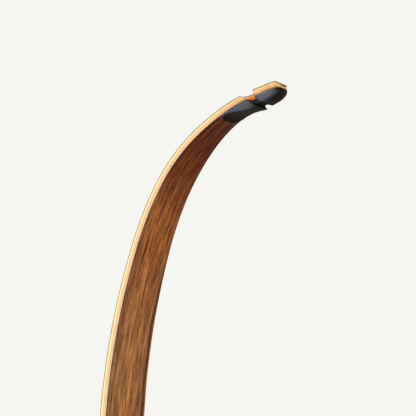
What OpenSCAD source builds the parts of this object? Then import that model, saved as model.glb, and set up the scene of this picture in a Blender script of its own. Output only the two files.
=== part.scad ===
// Take-down recurve bow, unstrung, right-handed.
// X points to the target, Y to the archer's left and Z up. The origin is the throat of the grip.

/* [Limb bend] */
// Lean of the limb pads from upright, towards the archer
pad_angle = 13; // [9:0.5:16]
// Straight length of the limb from its butt
limb_straight = 110; // [100:1:130]
// Radius of the first, long bend
bend_r1 = 700; // [600:5:900]
// Angle of the first bend
bend_a1 = 19.6; // [16:0.2:22]
// Radius of the second bend
bend_r2 = 380; // [330:5:450]
// Angle of the second bend
bend_a2 = 15.8; // [13:0.2:18]
// Radius of the third bend
bend_r3 = 170; // [150:2:200]
// Angle of the third bend
bend_a3 = 13.4; // [11:0.2:16]
// Radius of the hook
bend_r4 = 110; // [95:1:130]
// Angle of the hook
bend_a4 = 46.5; // [40:0.5:52]
// Radius of the last bend, under the string nock
bend_r5 = 272; // [220:2:340]
// Length of the last bend, from the hook to the tip end
tip_len = 35.5; // [33:0.5:44]

/* [Limb outline] */
// Half width of the limb at its butt
half_w_butt = 21.5; // [19:0.5:24]
// Half width of the limb at mid_at from the tip end
half_w_mid = 18.75; // [17:0.25:20]
// Half width of the limb at upper_at from the tip end
half_w_upper = 16; // [14.5:0.1:17]
// Half width of the limb at hook_at from the tip end
half_w_hook = 13.1; // [11.5:0.1:14]
// Half width of the limb beside the string nock
half_w_tip = 9.1; // [8:0.1:10]
// Half width of the bulb at the end of the tip
bulb_half_w = 8.3; // [7.5:0.1:9.5]
// Distance from the tip end to the middle stretch's widening
mid_at = 330; // [300:5:360]
// Distance from the tip end to the upper stretch's widening
upper_at = 200; // [180:5:220]
// Distance from the tip end to the start of the hook's widening
hook_at = 110; // [95:5:125]
// Distance from the tip end to the end of the nock's even width
nock_end = 45; // [40:1:50]
// Length of the rounded end of the bulb
bulb_round = 14; // [11:0.5:16]
// Radius of the butt's two corners
butt_corner_r = 6; // [3:0.5:9]

/* [Laminations] */
// Thickness of each clear glass facing at the butt
glass_t = 0.65; // [0.5:0.05:1]
// Thickness of each brown face veneer at the butt
veneer_t = 0.4; // [0.3:0.05:0.9]
// Thickness of each maple core at the butt
core_t = 1.95; // [1.6:0.05:2.3]
// Share of the butt's thickness that is left at the middle of the limb
taper_mid = 0.99; // [0.9:0.005:1]
// Share of the butt's thickness that is left at the string nock
taper_nock = 0.85; // [0.75:0.01:0.95]
// Share of the butt's thickness that is left at the bulb's end
taper_tip = 0.78; // [0.6:0.01:0.9]
// Thickness of the butt wedge
wedge_t = 6.5; // [4:0.25:9]
// Length over which the butt wedge keeps its thickness
wedge_flat = 78; // [70:1:90]
// Whole length of the butt wedge
wedge_len = 150; // [130:2:180]

/* [Tip] */
// Distance of the string groove from the tip end, at the back of the overlay
groove_at = 21.8; // [20:0.1:26]
// How much further from the tip end the groove meets the belly
groove_slant = 7; // [0:0.1:8]
// Depth of the string groove in each edge at the back
groove_depth = 3.8; // [3:0.1:5]
// Depth of the string groove in each edge at the belly
groove_depth_belly = 5.4; // [3:0.1:6]
// Width of the string groove at the back
groove_w_back = 3.8; // [3:0.1:7]
// Width of the string groove at the belly
groove_w_belly = 11.2; // [7:0.1:13]
// Depth of the string groove across the back of the overlay
saddle_depth = 1.3; // [0.5:0.1:2]
// Length of the tip overlay, from the tip end
overlay_len = 57; // [52:1:66]
// Length of the overlay's rounded lower end
overlay_round = 9; // [6:0.5:12]
// Thickness of the overlay at the string nock
overlay_t = 5; // [4:0.1:6]
// Thickness of the overlay at the tip end
overlay_tip_t = 1.9; // [0.8:0.1:2.5]
// Thickness of the overlay at its rounded lower end
overlay_lip = 0.35; // [0.25:0.05:0.6]
// How far the overlay's rounded shoulders reach in from its edges at the string nock
shoulder_in = 2; // [1.5:0.1:4]

/* [Riser] */
// Height of the riser
riser_len = 450; // [430:2:480]
// Height of the riser's middle above the throat of the grip
riser_mid = 20; // [10:1:30]
// Distance of a pad's outer end in front of the throat
pad_front = 8; // [6:0.5:14]
// Length of a limb pad
pad_len = 88; // [86:1:96]
// Gap between a limb's butt and the riser's shoulder
shoulder_gap = 1.2; // [0.6:0.1:2]
// Front of the riser at the shoulders, from the throat
shoulder_front = 41; // [38:0.5:46]
// Front of the riser behind the grip, from the throat
grip_front = 46; // [43:0.5:50]
// Half width of the riser in the sight window's stretch
window_half_w = 23; // [21:0.5:25]
// Half width of the pads
pad_half_w = 22; // [20:0.5:24.5]
// Half width of the grip at the throat
throat_half_w = 13.5; // [12:0.5:15]
// Half width of the grip at the palm swell
palm_half_w = 17; // [15:0.5:19]
// Depth of the palm heel behind the throat
heel_depth = 25; // [20:0.5:30]
// Distance of the palm heel below the throat
heel_drop = 78; // [70:1:86]
// How far the back of a pad's stretch lies behind the throat
pad_back = 9; // [7:0.5:11]
// How far the riser reaches behind the throat at the sight window
window_back = 18; // [15:0.5:21]
// Radius of the riser's rounded ends
end_round = 4; // [2:0.5:4]

/* [Sight window] */
// Height of the arrow shelf above the throat
shelf_h = 22; // [20:0.5:26]
// How far the window is cut past the centre line
past_centre = 3; // [0:0.5:6]
// Height of the window's flat part
window_h = 84; // [76:1:92]
// Height of the sweep above the window
sweep_h = 40; // [36:1:44]
// Radius of the corner between shelf and window
shelf_fillet = 1.5; // [1:0.25:2]
// Thickness of the arrow shelf's pad
shelf_pad_t = 2; // [1.5:0.25:3]

/* [Riser strips] */
// Front of the accent's centre line from the throat at mid height
accent_front = 18; // [16:0.5:20]
// How far the accent sweeps back at the riser's ends
accent_sweep = 17; // [15:0.5:18]
// Thickness of each pale strip
pale_t = 2.5; // [1.5:0.25:3]
// Thickness of the dark strip
dark_t = 5; // [3:0.25:6]

/* [Limb fastening] */
// Distance of the limb bolt from the butt
bolt_at = 45; // [42:0.5:48]
// Major radius of the limb bolt's thread
bolt_r = 3.9; // [3.5:0.05:4.2]
// Length of thread in the insert
bolt_engage = 20; // [16:0.5:21]
// Radius of the bolt's knob
knob_r = 12; // [11:0.5:14]
// Height of the bolt's knob
knob_h = 9.5; // [8:0.5:12]
// Width across flats of the knob's hex socket
socket_af = 6; // [5:0.5:8]
// Radius of the washer
washer_r = 10; // [9:0.5:11]
// Thickness of the washer
washer_t = 1.6; // [1:0.1:2.5]
// Radius of the threaded insert
insert_r = 6.5; // [5.5:0.25:8]
// Length of the threaded insert
insert_len = 22; // [21:0.5:23]
// Distance of the lower locating pin from the butt
pin_low = 18; // [14:0.5:22]
// Distance of the upper locating pin from the butt
pin_high = 70; // [66:0.5:73]
// Radius of a locating pin
pin_r = 3; // [2.5:0.1:3.5]
// How far a locating pin stands out of its pad
pin_out = 7; // [5:0.25:8]
// How deep a locating pin sits in the riser
pin_in = 12; // [8:0.5:12]

/* [Bushings] */
// Radius of the thread in the stabiliser and plunger bushings
accessory_r = 3.97; // [3.5:0.01:4.2]
// Radius of the stabiliser bushing
stabiliser_r = 7; // [6:0.25:8]
// Length of the stabiliser bushing in the riser
stabiliser_len = 20; // [16:0.5:21]
// Distance of the stabiliser bushing below the throat
stabiliser_drop = 85; // [78:1:92]
// Radius of the plunger bushing
plunger_r = 5.5; // [5:0.25:6.5]
// Height of the plunger bushing above the arrow shelf
plunger_h = 20; // [16:0.5:24]
// Distance of the plunger bushing in front of the throat
plunger_front = 3; // [0:0.5:5]
// Radius of the thread in a sight bushing
sight_thread_r = 2.42; // [2:0.01:2.6]
// Radius of a sight bushing
sight_r = 4; // [3.5:0.25:4.5]
// Length of a sight bushing
sight_len = 11; // [8:0.5:12]
// Distance between the two sight bushings
sight_pitch = 33.34; // [30:0.01:36]
// Height of the lower sight bushing above the arrow shelf
sight_h = 40; // [34:1:46]
// Distance of the sight bushings in front of the throat
sight_front = 34; // [32:0.5:36]
// How far a bushing's face stands out of the wood
bushing_proud = 0.6; // [0.3:0.1:1]

/* [Clearances] */
// Radial clearance of the limb bolt in its insert
thread_clear = 0.05; // [0.02:0.01:0.1]
// Radial clearance of the locating pins in the limb
pin_clear = 0.08; // [0.03:0.01:0.2]
// Radial clearance of the limb bolt in the limb and the washer
bolt_clear = 0.35; // [0.2:0.05:0.6]
// Glue gap round a pin, an insert or a bushing
glue_gap = 0.02; // [0.01:0.01:0.05]
// Gap between the limb's belly and its pad
seat_clear = 0.02; // [0.01:0.01:0.05]
// Gap under the shelf pad
pad_gap = 0.05; // [0.02:0.01:0.1]

/* [Hidden] */
$fn = 48;
overshoot = 1;

// Helpers
function mix(a, b, t) = a + (b - a) * t;
function clip(v, lo, hi) = min(max(v, lo), hi);
// Quarter-round easing: 0 at t = 0 with an upright start, 1 at t = 1
function bulge(t) = sqrt(max(0, 1 - pow(1 - clip(t, 0, 1), 2)));
function squared_bulge(t) = pow(1 - pow(1 - clip(t, 0, 1), 3), 1 / 3);
// Smooth step from 0 to 1
function ease(t) = 0.5 - 0.5 * cos(180 * clip(t, 0, 1));
// Values from a up to but not including b, at most step apart
function steps(a, b, step) =
    let(n = max(1, ceil((b - a) / step)))
    [for (i = [0:n - 1]) mix(a, b, i / n)];
// Values from a up to but not including b, crowded at both ends
function crowd(a, b, n) = [for (i = [0:n - 1]) mix(a, b, ease(i / n))];
// Column c of a table of stations, as a curve without overshoot
function chord(tab, c, i) = (tab[i + 1][c] - tab[i][c]) / (tab[i + 1][0] - tab[i][0]);
function slope(tab, c, i) =
    i == 0 || i == len(tab) - 1 ? 0
    : let(a = chord(tab, c, i - 1), b = chord(tab, c, i))
    a * b <= 0 ? 0 : 2 * a * b / (a + b);
function span_of(tab, v, i = 0) = i >= len(tab) - 2 || v <= tab[i + 1][0] ? i : span_of(tab, v, i + 1);
function curve(tab, c, v) =
    let(w = clip(v, tab[0][0], tab[len(tab) - 1][0]),
        i = span_of(tab, w),
        h = tab[i + 1][0] - tab[i][0],
        t = (w - tab[i][0]) / h)
    tab[i][c] * (2 * t * t * t - 3 * t * t + 1) + tab[i + 1][c] * (3 * t * t - 2 * t * t * t)
    + h * slope(tab, c, i) * (t * t * t - 2 * t * t + t) + h * slope(tab, c, i + 1) * (t * t * t - t * t);
// Closed skin over rings of points, all of one length
module skin(rings) {
    m = len(rings[0]);
    n = len(rings);
    sides = [
        for (i = [0:n - 2])
        for (j = [0:m - 1])
        let(k = (j + 1) % m)
        each [
            [i * m + j, i * m + k, (i + 1) * m + k],
            [i * m + j, (i + 1) * m + k, (i + 1) * m + j],
        ]
    ];
    first = [for (j = [1:m - 2]) [0, j + 1, j]];
    last = [for (j = [1:m - 2]) [(n - 1) * m, (n - 1) * m + j, (n - 1) * m + j + 1]];
    polyhedron([for (r = rings) each r], concat(sides, first, last), convexity = 8);
}

// Limb bend: place and lean at a distance s from the butt, in the pad's own frame
bends = [[bend_r1, bend_a1], [bend_r2, bend_a2], [bend_r3, bend_a3], [bend_r4, bend_a4],
    [bend_r5, tip_len / bend_r5 * 180 / PI]];
function bend_len(i) = bends[i][0] * bends[i][1] * PI / 180;
function bend_end(i) = i < 0 ? limb_straight : bend_end(i - 1) + bend_len(i);
limb_len = bend_end(4);
function walk(s, i, x, z, lean) =
    let(r = bends[i][0],
        here = min(s, bend_len(i)),
        turn = i == 4 ? s / r * 180 / PI : here / r * 180 / PI,
        x2 = x + r * (cos(lean) - cos(lean + turn)),
        z2 = z + r * (sin(lean + turn) - sin(lean)))
    i == 4 || s <= bend_len(i) ? [x2, z2, lean + turn] : walk(s - here, i + 1, x2, z2, lean + turn);
function centre(s) = s <= limb_straight ? [0, s, 0] : walk(s - limb_straight, 0, 0, limb_straight, 0);

// Limb sizes at a distance s from the butt, or d from the tip end
half_t = glass_t + veneer_t + core_t;
outline = [
    [bulb_round, bulb_half_w], [groove_at + groove_w_back, half_w_tip], [nock_end, half_w_tip],
    [hook_at, half_w_hook], [upper_at, half_w_upper], [mid_at, half_w_mid],
    [limb_len - butt_corner_r, half_w_butt],
];
function half_width(s) =
    let(d = limb_len - s)
    d < bulb_round ? max(1.5, bulb_half_w * bulge(d / bulb_round))
    : s < butt_corner_r ? half_w_butt - butt_corner_r * (1 - bulge(s / butt_corner_r))
    : curve(outline, 1, d);
tapers = [
    [0, taper_tip], [0.9 * bulb_round, mix(taper_tip, taper_nock, 0.45)], [nock_end, taper_nock],
    [1.1 * hook_at, taper_mid - 0.01], [1.25 * upper_at, taper_mid],
    [limb_len - wedge_len, 1], [limb_len, 1],
];
function taper(s) = curve(tapers, 1, limb_len - s);
function wedge(s) = wedge_t * (1 - ease((s - wedge_flat) / (wedge_len - wedge_flat)));
// Overlay thickness with its feathered start and the saddle for the string
overlay_rise = [[0, overlay_tip_t], [bulb_round, 0.82 * overlay_t], [groove_at - 2, 0.88 * overlay_t],
    [groove_at + groove_w_back, overlay_t], [overlay_len, overlay_lip]];
function overlay_h(s) =
    let(d = limb_len - s)
    curve(overlay_rise, 1, d) - saddle_depth * groove_share(d, groove_at, groove_w_back * 1.3);
function groove_share(d, at, w) = sqrt(max(0, 1 - pow(2 * (d - at) / w, 2)));
// Surfaces of the stack, counted from the belly: 0 to 7 bound the laminations, 8 is the overlay's back
function level(k, s) =
    let(f = taper(s), w = wedge(s))
    k == 0 ? -f * half_t : k == 1 ? -f * (half_t - glass_t) : k == 2 ? -f * core_t : k == 3 ? 0
    : k == 4 ? w : k == 5 ? w + f * core_t : k == 6 ? w + f * (half_t - glass_t) : k == 7 ? w + f * half_t
    : w + f * half_t + overlay_h(s);
// Half width at height n in the stack, with the slanted and flared string groove taken out
stack_t = half_t * 2 * taper_nock + overlay_t;
function edge(s, n) =
    let(p = clip((n + half_t * taper_nock) / stack_t, 0, 1),
        d = limb_len - s,
        cut = mix(groove_depth_belly, groove_depth, p)
            * groove_share(d, groove_at + groove_slant * (1 - p), mix(groove_w_belly, groove_w_back, p)))
    half_width(s) - cut;
// Stations along the limb, close together at the butt's corners, the groove and the bulb's end
groove_from = limb_len - groove_at - groove_slant - groove_w_belly / 2;
groove_to = limb_len - groove_at + groove_w_back / 2;
overlay_from = limb_len - overlay_len;
stations = concat(
    crowd(0, butt_corner_r, 4),
    steps(butt_corner_r, wedge_flat, wedge_flat / 2),
    steps(wedge_flat, wedge_len, 12),
    steps(wedge_len, bend_end(0), 22),
    steps(bend_end(0), bend_end(1), 16),
    steps(bend_end(1), bend_end(2), 10),
    steps(bend_end(2), overlay_from, 7.5),
    [for (i = [1:5]) overlay_from + overlay_round * (1 - cos(18 * i))],
    steps(overlay_from + overlay_round + 2, groove_from - 1, 4.5),
    crowd(groove_from - 1, groove_to + 0.5, 16),
    steps(groove_to + 0.5, limb_len - bulb_round, 6),
    [for (i = [0:5]) limb_len - bulb_round * (1 - sin(15 * i))],
    [limb_len - 0.15]
);
// A point at distance s, height n and width y
function spot(s, n, y) = let(c = centre(s)) [c[0] + n * cos(c[2]), y, c[1] - n * sin(c[2])];
// The straight-sided slice of the limb between two surfaces
module slice(lo, hi, from = 0, to = limb_len) {
    list = [for (s = stations) if (s >= from && s <= to) s];
    skin([
        for (s = list)
        let(a = level(lo, s), b = level(hi, s), wa = edge(s, a), wb = edge(s, b))
        [spot(s, a, -wa), spot(s, b, -wb), spot(s, b, wb), spot(s, a, wa)]
    ]);
}
// Turns the pad's frame into the bow's frame: X out of the pad, Z along the limb from its butt
pad_out = [pad_front + pad_len * sin(pad_angle), riser_mid + riser_len / 2 - pad_len * cos(pad_angle)];
module on_pad() {
    translate([pad_out[0], 0, pad_out[1]])
    rotate([0, -pad_angle, 0])
    children();
}
// The limb stands on the pad with its belly
module on_limb() {
    on_pad()
    translate([half_t, 0, 0])
    children();
}
module below() {
    translate([0, 0, 2 * riser_mid])
    mirror([0, 0, 1])
    children();
}
// A round bar out of the pad, from height a to height b, at distance s from the butt
module bar(r, s, a, b) {
    translate([a, 0, s])
    rotate([0, 90, 0])
    cylinder(r = r, h = b - a);
}
// Holes for the limb bolt and the locating pins, in the pad's frame
module limb_holes() {
    bar(bolt_r + bolt_clear, bolt_at, -overshoot, half_t * 2 + wedge_t + overshoot);
    for (s = [pin_low, pin_high])
        bar(pin_r + pin_clear, s, -overshoot, pin_out + 0.5);
}
module drilled() {
    difference() {
        on_limb() children();
        on_pad() limb_holes();
    }
}

module belly_glass() color([0.80, 0.70, 0.55]) drilled() slice(0, 1);
module belly_veneer() color([0.42, 0.25, 0.13]) drilled() slice(1, 2);
module belly_core() color([0.98, 0.90, 0.70]) drilled() slice(2, 3);
module butt_wedge() color([0.55, 0.33, 0.18]) drilled() slice(3, 4, 0, wedge_len - 6);
module back_core() color([0.97, 0.78, 0.55]) drilled() slice(4, 5);
module back_veneer() color([0.40, 0.23, 0.12]) drilled() slice(5, 6);
module back_glass() color([0.50, 0.32, 0.18]) drilled() slice(6, 7);
// Overlay with steep sides and an almost flat back, its shoulders rounder on the bulb
shoulder = [[0.1, 0.35], [0.35, 0.78], [0.6, 0.93], [1, 0.99], [1.8, 1]];
module tip_overlay() {
    color([0.10, 0.09, 0.10])
    on_limb()
    skin([
        for (s = stations)
        if (s > overlay_from + 0.1)
        let(tongue = squared_bulge((s - overlay_from) / overlay_round),
            a = level(7, s),
            h = overlay_h(s),
            base = edge(s, a) * tongue,
            round = limb_len - s < groove_at ? 1.6 : 1,
            reach = min(round * shoulder_in * h / overlay_t + 0.3, base * 0.5),
            half = [for (t = shoulder) [edge(s, a + h * t[1]) * tongue - reach * t[0], a + h * t[1]]])
        concat(
            [spot(s, a, -base)], [for (p = half) spot(s, p[1], -p[0])],
            [for (i = [len(half) - 1:-1:0]) spot(s, half[i][1], half[i][0])], [spot(s, a, base)]
        )
    ]);
}

// Riser sections at height z: back of the grip, half width and squareness
top_z = riser_mid + riser_len / 2;
bottom_z = riser_mid - riser_len / 2;
shoulder_z = pad_out[1] - shoulder_gap;
low_shoulder_z = 2 * riser_mid - shoulder_z;
window_top = shelf_h + window_h;
body = [
    [bottom_z, -pad_back, pad_half_w, 6],
    [bottom_z + pad_len / 2, -pad_back - 0.5, pad_half_w, 6],
    [low_shoulder_z, -1.55 * pad_back, pad_half_w, 5],
    [-heel_drop - 20, -0.88 * heel_depth, pad_half_w - 3, 3.5],
    [-heel_drop, -heel_depth, palm_half_w + 0.5, 2.6],
    [-0.58 * heel_drop, -0.64 * heel_depth, palm_half_w, 2.3],
    [-0.23 * heel_drop, -0.14 * heel_depth, throat_half_w + 0.8, 2.3],
    [0, 0, throat_half_w, 2.4],
    [0.41 * shelf_h, -2.5, throat_half_w + 1.5, 2.6],
    [shelf_h - 4, -0.72 * window_back, window_half_w - 1.5, 3.6],
    [shelf_h + 10, -window_back, window_half_w, 5],
    [window_top, 1 - window_back, window_half_w, 5],
    [shoulder_z, -2 / 3 * window_back, pad_half_w, 5],
    [top_z - pad_len / 2, -pad_back - 0.5, pad_half_w, 6],
    [top_z, -pad_back, pad_half_w, 6],
];
front = [
    [bottom_z, pad_front + 18],
    [low_shoulder_z, shoulder_front],
    [-10 / 13 * heel_drop, grip_front - 2],
    [0, grip_front],
    [shelf_h + 30, grip_front - 1],
    [shoulder_z, shoulder_front],
    [top_z, pad_front + 18],
];
function pad_plane(z) =
    pad_front - seat_clear / cos(pad_angle) + (top_z - riser_mid - abs(z - riser_mid)) * tan(pad_angle);
// The shoulder's slope takes 2.5 mm of height
function riser_front(z) =
    let(over = abs(z - riser_mid) - (shoulder_z - riser_mid))
    over >= 0 ? pad_plane(z) : mix(pad_plane(z), curve(front, 1, z), clip(-over / 2.5, 0, 1));
function end_inset(z) = end_round * (1 - bulge((top_z - riser_mid - abs(z - riser_mid)) / end_round));
function riser_back(z) = curve(body, 1, z) + end_inset(z);
function riser_half(z) = curve(body, 2, z) - end_inset(z);
// The window's wall at height z, far out where there is none
function window_wall(z) =
    let(wall = -past_centre, out = window_half_w + 2, up = z - shelf_h)
    up <= -0.4 ? out
    : up <= 0 ? mix(out, wall + shelf_fillet, (up + 0.4) / 0.4)
    : up < shelf_fillet ? wall + shelf_fillet * (1 - bulge(up / shelf_fillet))
    : up < window_h ? wall
    : mix(wall, out, ease((up - window_h) / sweep_h));
// How far the outline is squared off before it would come to a ridge
ridge = 0.98;
edge_ease = 5;
function riser_y(z, x) =
    let(a = riser_back(z), b = curve(front, 1, z), u = clip((2 * x - a - b) / (b - a), -1, 1) * ridge,
        n = curve(body, 3, z))
    riser_half(z) * pow(1 - pow(abs(u), n), 1 / n);
function riser_left(z, x) =
    let(a = riser_back(z), b = riser_front(z), u = clip((2 * x - a - b) / (b - a), -1, 1))
    min(riser_y(z, x), window_wall(z) - edge_ease * pow(abs(u), 10));
// Heights of the riser's sections
heights = concat(
    [for (i = [0:3]) bottom_z + end_round * (1 - cos(22.5 * i))],
    steps(bottom_z + end_round, low_shoulder_z, 22),
    steps(low_shoulder_z, low_shoulder_z + 2.5, 2.5), steps(low_shoulder_z + 2.5, -18, 10),
    steps(-18, shelf_h - 4, 6), steps(shelf_h - 4, shelf_h - 0.4, 4),
    [shelf_h - 0.4, shelf_h, shelf_h + 0.3 * shelf_fillet, shelf_h + shelf_fillet],
    steps(shelf_h + shelf_fillet + 6, window_top, 20), steps(window_top, window_top + sweep_h, 7),
    steps(window_top + sweep_h, shoulder_z - 2.5, 8),
    [shoulder_z - 2.5], steps(shoulder_z, top_z - end_round, 22),
    [for (i = [0:4]) top_z - end_round * (1 - sin(22.5 * i))]
);
// Accent lines through the riser: the dark strip between two pale ones
function accent(z) = accent_front - accent_sweep * pow((z - riser_mid) / (riser_len / 2), 2);
function split(k, z) =
    k == 0 ? riser_back(z) : k == 1 ? accent(z) - dark_t / 2 - pale_t : k == 2 ? accent(z) - dark_t / 2
    : k == 3 ? accent(z) + dark_t / 2 : k == 4 ? accent(z) + dark_t / 2 + pale_t : riser_front(z);
// Spacing across a block, crowded at the outer face of the two big blocks
function across(k, t) = k == 0 ? 1 - cos(90 * t) : k == 4 ? sin(90 * t) : t;
module riser_layer(k) {
    n = k == 0 || k == 4 ? 6 : 1;
    skin([
        for (z = heights)
        let(a = split(k, z), b = split(k + 1, z), xs = [for (i = [0:n]) mix(a, b, across(k, i / n))])
        concat([for (x = xs) [x, -riser_y(z, x), z]], [for (i = [n:-1:0]) [xs[i], riser_left(z, xs[i]), z]])
    ]);
}
// Everything that is let into the riser's wood, grown by g
module riser_holes(g) {
    on_pad() pad_holes(g);
    below() on_pad() pad_holes(g);
    stabiliser_place() bar(stabiliser_r + g, 0, -stabiliser_len - g, overshoot * 4);
    plunger_place() cylinder(r = plunger_r + g, h = window_half_w * 3, center = true);
    sight_places()
    translate([0, 0, -overshoot * 4])
    cylinder(r = sight_r + g, h = sight_len + g + overshoot * 4);
}
module pad_holes(g) {
    bar(insert_r + g, bolt_at, -insert_len - g, overshoot);
    for (s = [pin_low, pin_high])
        bar(pin_r + g, s, -pin_in - g, overshoot);
}
module stabiliser_place() {
    translate([riser_front(-stabiliser_drop), 0, -stabiliser_drop])
    children();
}
module plunger_place() {
    translate([plunger_front, 0, shelf_h + plunger_h])
    rotate([90, 0, 0])
    children();
}
// Both sight bushings start at one face; Z runs from there into the wood
sight_face = riser_y(shelf_h + sight_h + sight_pitch / 2, sight_front);
module sight_places() {
    for (i = [0, 1]) {
        z = shelf_h + sight_h + i * sight_pitch;
        translate([sight_front, -sight_face, z])
        rotate([-90, 0, 0])
        children();
    }
}
module riser_part(k) {
    difference() {
        riser_layer(k);
        riser_holes(glue_gap);
    }
}
module riser_belly_block() color([0.45, 0.26, 0.14]) riser_part(0);
module riser_pale_strip_belly() color([0.93, 0.80, 0.58]) riser_part(1);
module riser_dark_strip() color([0.16, 0.10, 0.08]) riser_part(2);
module riser_pale_strip_back() color([0.93, 0.80, 0.58]) riser_part(3);
module riser_back_block() color([0.45, 0.26, 0.14]) riser_part(4);

module tube(r, hole, h) {
    difference() {
        cylinder(r = r, h = h);
        translate([0, 0, -overshoot]) cylinder(r = hole, h = h + 2 * overshoot);
    }
}
module stabiliser_bushing() {
    color([0.75, 0.62, 0.32])
    stabiliser_place()
    translate([-stabiliser_len, 0, 0])
    rotate([0, 90, 0])
    tube(stabiliser_r, accessory_r, stabiliser_len + bushing_proud);
}
module plunger_bushing() {
    wide = riser_y(shelf_h + plunger_h, plunger_front);
    color([0.75, 0.62, 0.32])
    plunger_place()
    translate([0, 0, past_centre])
    tube(plunger_r, accessory_r, wide - past_centre + bushing_proud);
}
module sight_bushings() {
    color([0.75, 0.62, 0.32])
    sight_places()
    translate([0, 0, -bushing_proud])
    tube(sight_r, sight_thread_r, sight_len + bushing_proud);
}
// Pad on the arrow shelf, with its outer edge rounded in plan
module arrow_shelf_pad() {
    inner = -past_centre + shelf_fillet + pad_gap;
    outer = window_half_w - 5;
    back = -8;
    fore = grip_front - 8;
    r = 6;
    color([0.25, 0.17, 0.12])
    translate([0, 0, shelf_h + pad_gap])
    linear_extrude(shelf_pad_t)
    union() {
        translate([back, inner]) square([fore - back, outer - inner - r]);
        translate([back + r, inner]) square([fore - back - 2 * r, outer - inner]);
        translate([back + r, outer - r]) circle(r = r);
        translate([fore - r, outer - r]) circle(r = r);
    }
}

module limb_insert() {
    color([0.75, 0.62, 0.32])
    on_pad()
    translate([-insert_len, 0, bolt_at])
    rotate([0, 90, 0])
    tube(insert_r, bolt_r + thread_clear, insert_len);
}
module locating_pins() {
    color([0.80, 0.68, 0.36])
    on_pad()
    for (s = [pin_low, pin_high])
        bar(pin_r, s, -pin_in, pin_out);
}
butt_t = half_t * 2 + wedge_t;
module limb_washer() {
    color([0.30, 0.30, 0.32])
    on_pad()
    translate([butt_t, 0, bolt_at])
    rotate([0, 90, 0])
    tube(washer_r, bolt_r + bolt_clear, washer_t);
}
// Knob with finger scallops, a stepped neck, a domed face and a hex socket
module limb_bolt() {
    neck_h = 2;
    scallops = 12;
    color([0.55, 0.56, 0.58])
    on_pad()
    translate([butt_t + washer_t, 0, bolt_at])
    rotate([0, 90, 0])
    difference() {
        union() {
            translate([0, 0, -butt_t - washer_t - bolt_engage])
            cylinder(r = bolt_r, h = butt_t + washer_t + bolt_engage + overshoot);
            rotate_extrude()
            polygon([
                [0, 0], [knob_r * 0.72, 0], [knob_r * 0.72, neck_h], [knob_r - 1, neck_h],
                [knob_r, neck_h + 1], [knob_r, knob_h - 1.6], [knob_r - 1.6, knob_h], [0, knob_h],
            ]);
        }
        for (i = [0:scallops - 1])
            rotate([0, 0, i * 360 / scallops])
            translate([knob_r + 1.1, 0, neck_h - overshoot])
            cylinder(r = 2.1, h = knob_h);
        translate([0, 0, knob_h - 5])
        cylinder(r = socket_af / sqrt(3), h = 5 + overshoot, $fn = 6);
    }
}

riser_belly_block();
riser_pale_strip_belly();
riser_dark_strip();
riser_pale_strip_back();
riser_back_block();
stabiliser_bushing();
plunger_bushing();
sight_bushings();
arrow_shelf_pad();
limb_insert();  // upper_limb_insert
locating_pins();  // upper_locating_pins
belly_glass();  // upper_belly_glass
belly_veneer();  // upper_belly_veneer
belly_core();  // upper_belly_core
butt_wedge();  // upper_butt_wedge
back_core();  // upper_back_core
back_veneer();  // upper_back_veneer
back_glass();  // upper_back_glass
tip_overlay();  // upper_tip_overlay
limb_washer();  // upper_limb_washer
limb_bolt();  // upper_limb_bolt
below() limb_insert();  // lower_limb_insert
below() locating_pins();  // lower_locating_pins
below() belly_glass();  // lower_belly_glass
below() belly_veneer();  // lower_belly_veneer
below() belly_core();  // lower_belly_core
below() butt_wedge();  // lower_butt_wedge
below() back_core();  // lower_back_core
below() back_veneer();  // lower_back_veneer
below() back_glass();  // lower_back_glass
below() tip_overlay();  // lower_tip_overlay
below() limb_washer();  // lower_limb_washer
below() limb_bolt();  // lower_limb_bolt
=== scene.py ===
import math
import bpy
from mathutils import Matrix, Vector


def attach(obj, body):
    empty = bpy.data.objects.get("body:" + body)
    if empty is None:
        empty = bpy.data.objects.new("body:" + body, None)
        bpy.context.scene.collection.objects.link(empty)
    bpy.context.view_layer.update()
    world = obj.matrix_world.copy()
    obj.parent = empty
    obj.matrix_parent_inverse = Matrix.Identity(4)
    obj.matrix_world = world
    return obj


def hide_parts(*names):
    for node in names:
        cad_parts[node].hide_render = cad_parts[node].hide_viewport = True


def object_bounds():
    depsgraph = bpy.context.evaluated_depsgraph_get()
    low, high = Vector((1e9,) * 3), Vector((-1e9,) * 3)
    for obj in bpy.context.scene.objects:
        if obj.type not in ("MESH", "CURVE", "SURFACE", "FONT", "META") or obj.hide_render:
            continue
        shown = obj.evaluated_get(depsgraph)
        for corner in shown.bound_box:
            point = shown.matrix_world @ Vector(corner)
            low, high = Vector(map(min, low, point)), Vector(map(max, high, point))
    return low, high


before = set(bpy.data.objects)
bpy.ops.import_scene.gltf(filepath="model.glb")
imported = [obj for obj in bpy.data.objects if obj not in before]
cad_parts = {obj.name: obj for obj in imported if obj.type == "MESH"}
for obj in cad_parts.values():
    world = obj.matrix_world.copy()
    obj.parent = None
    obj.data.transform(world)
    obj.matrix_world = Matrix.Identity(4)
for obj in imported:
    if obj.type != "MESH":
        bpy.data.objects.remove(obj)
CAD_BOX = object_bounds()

from types import SimpleNamespace

import bmesh
import bpy
from bpy.props import FloatProperty, FloatVectorProperty, PointerProperty
from mathutils import Matrix, Vector

bl_info = {
    "name": "Take-down recurve bow",
    "version": (1, 0, 0),
    "blender": (4, 5, 0),
    "location": "View3D > Sidebar > Bow",
    "description": "Builds a laminated take-down recurve bow, piece by piece, around its solid frame",
    "category": "Add Mesh",
}

MM = 0.001
TURN = 2 * math.pi


# Settings


def length(title, text, value):
    return FloatProperty(name=title, description=text, default=value * MM, unit="LENGTH", precision=5)


def angle(title, text, value):
    return FloatProperty(name=title, description=text, default=math.radians(value), unit="ROTATION")


def share(title, text, value):
    return FloatProperty(name=title, description=text, default=value, min=0, max=1)


def number(title, text, value, least):
    return FloatProperty(name=title, description=text, default=value, min=least)


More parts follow.
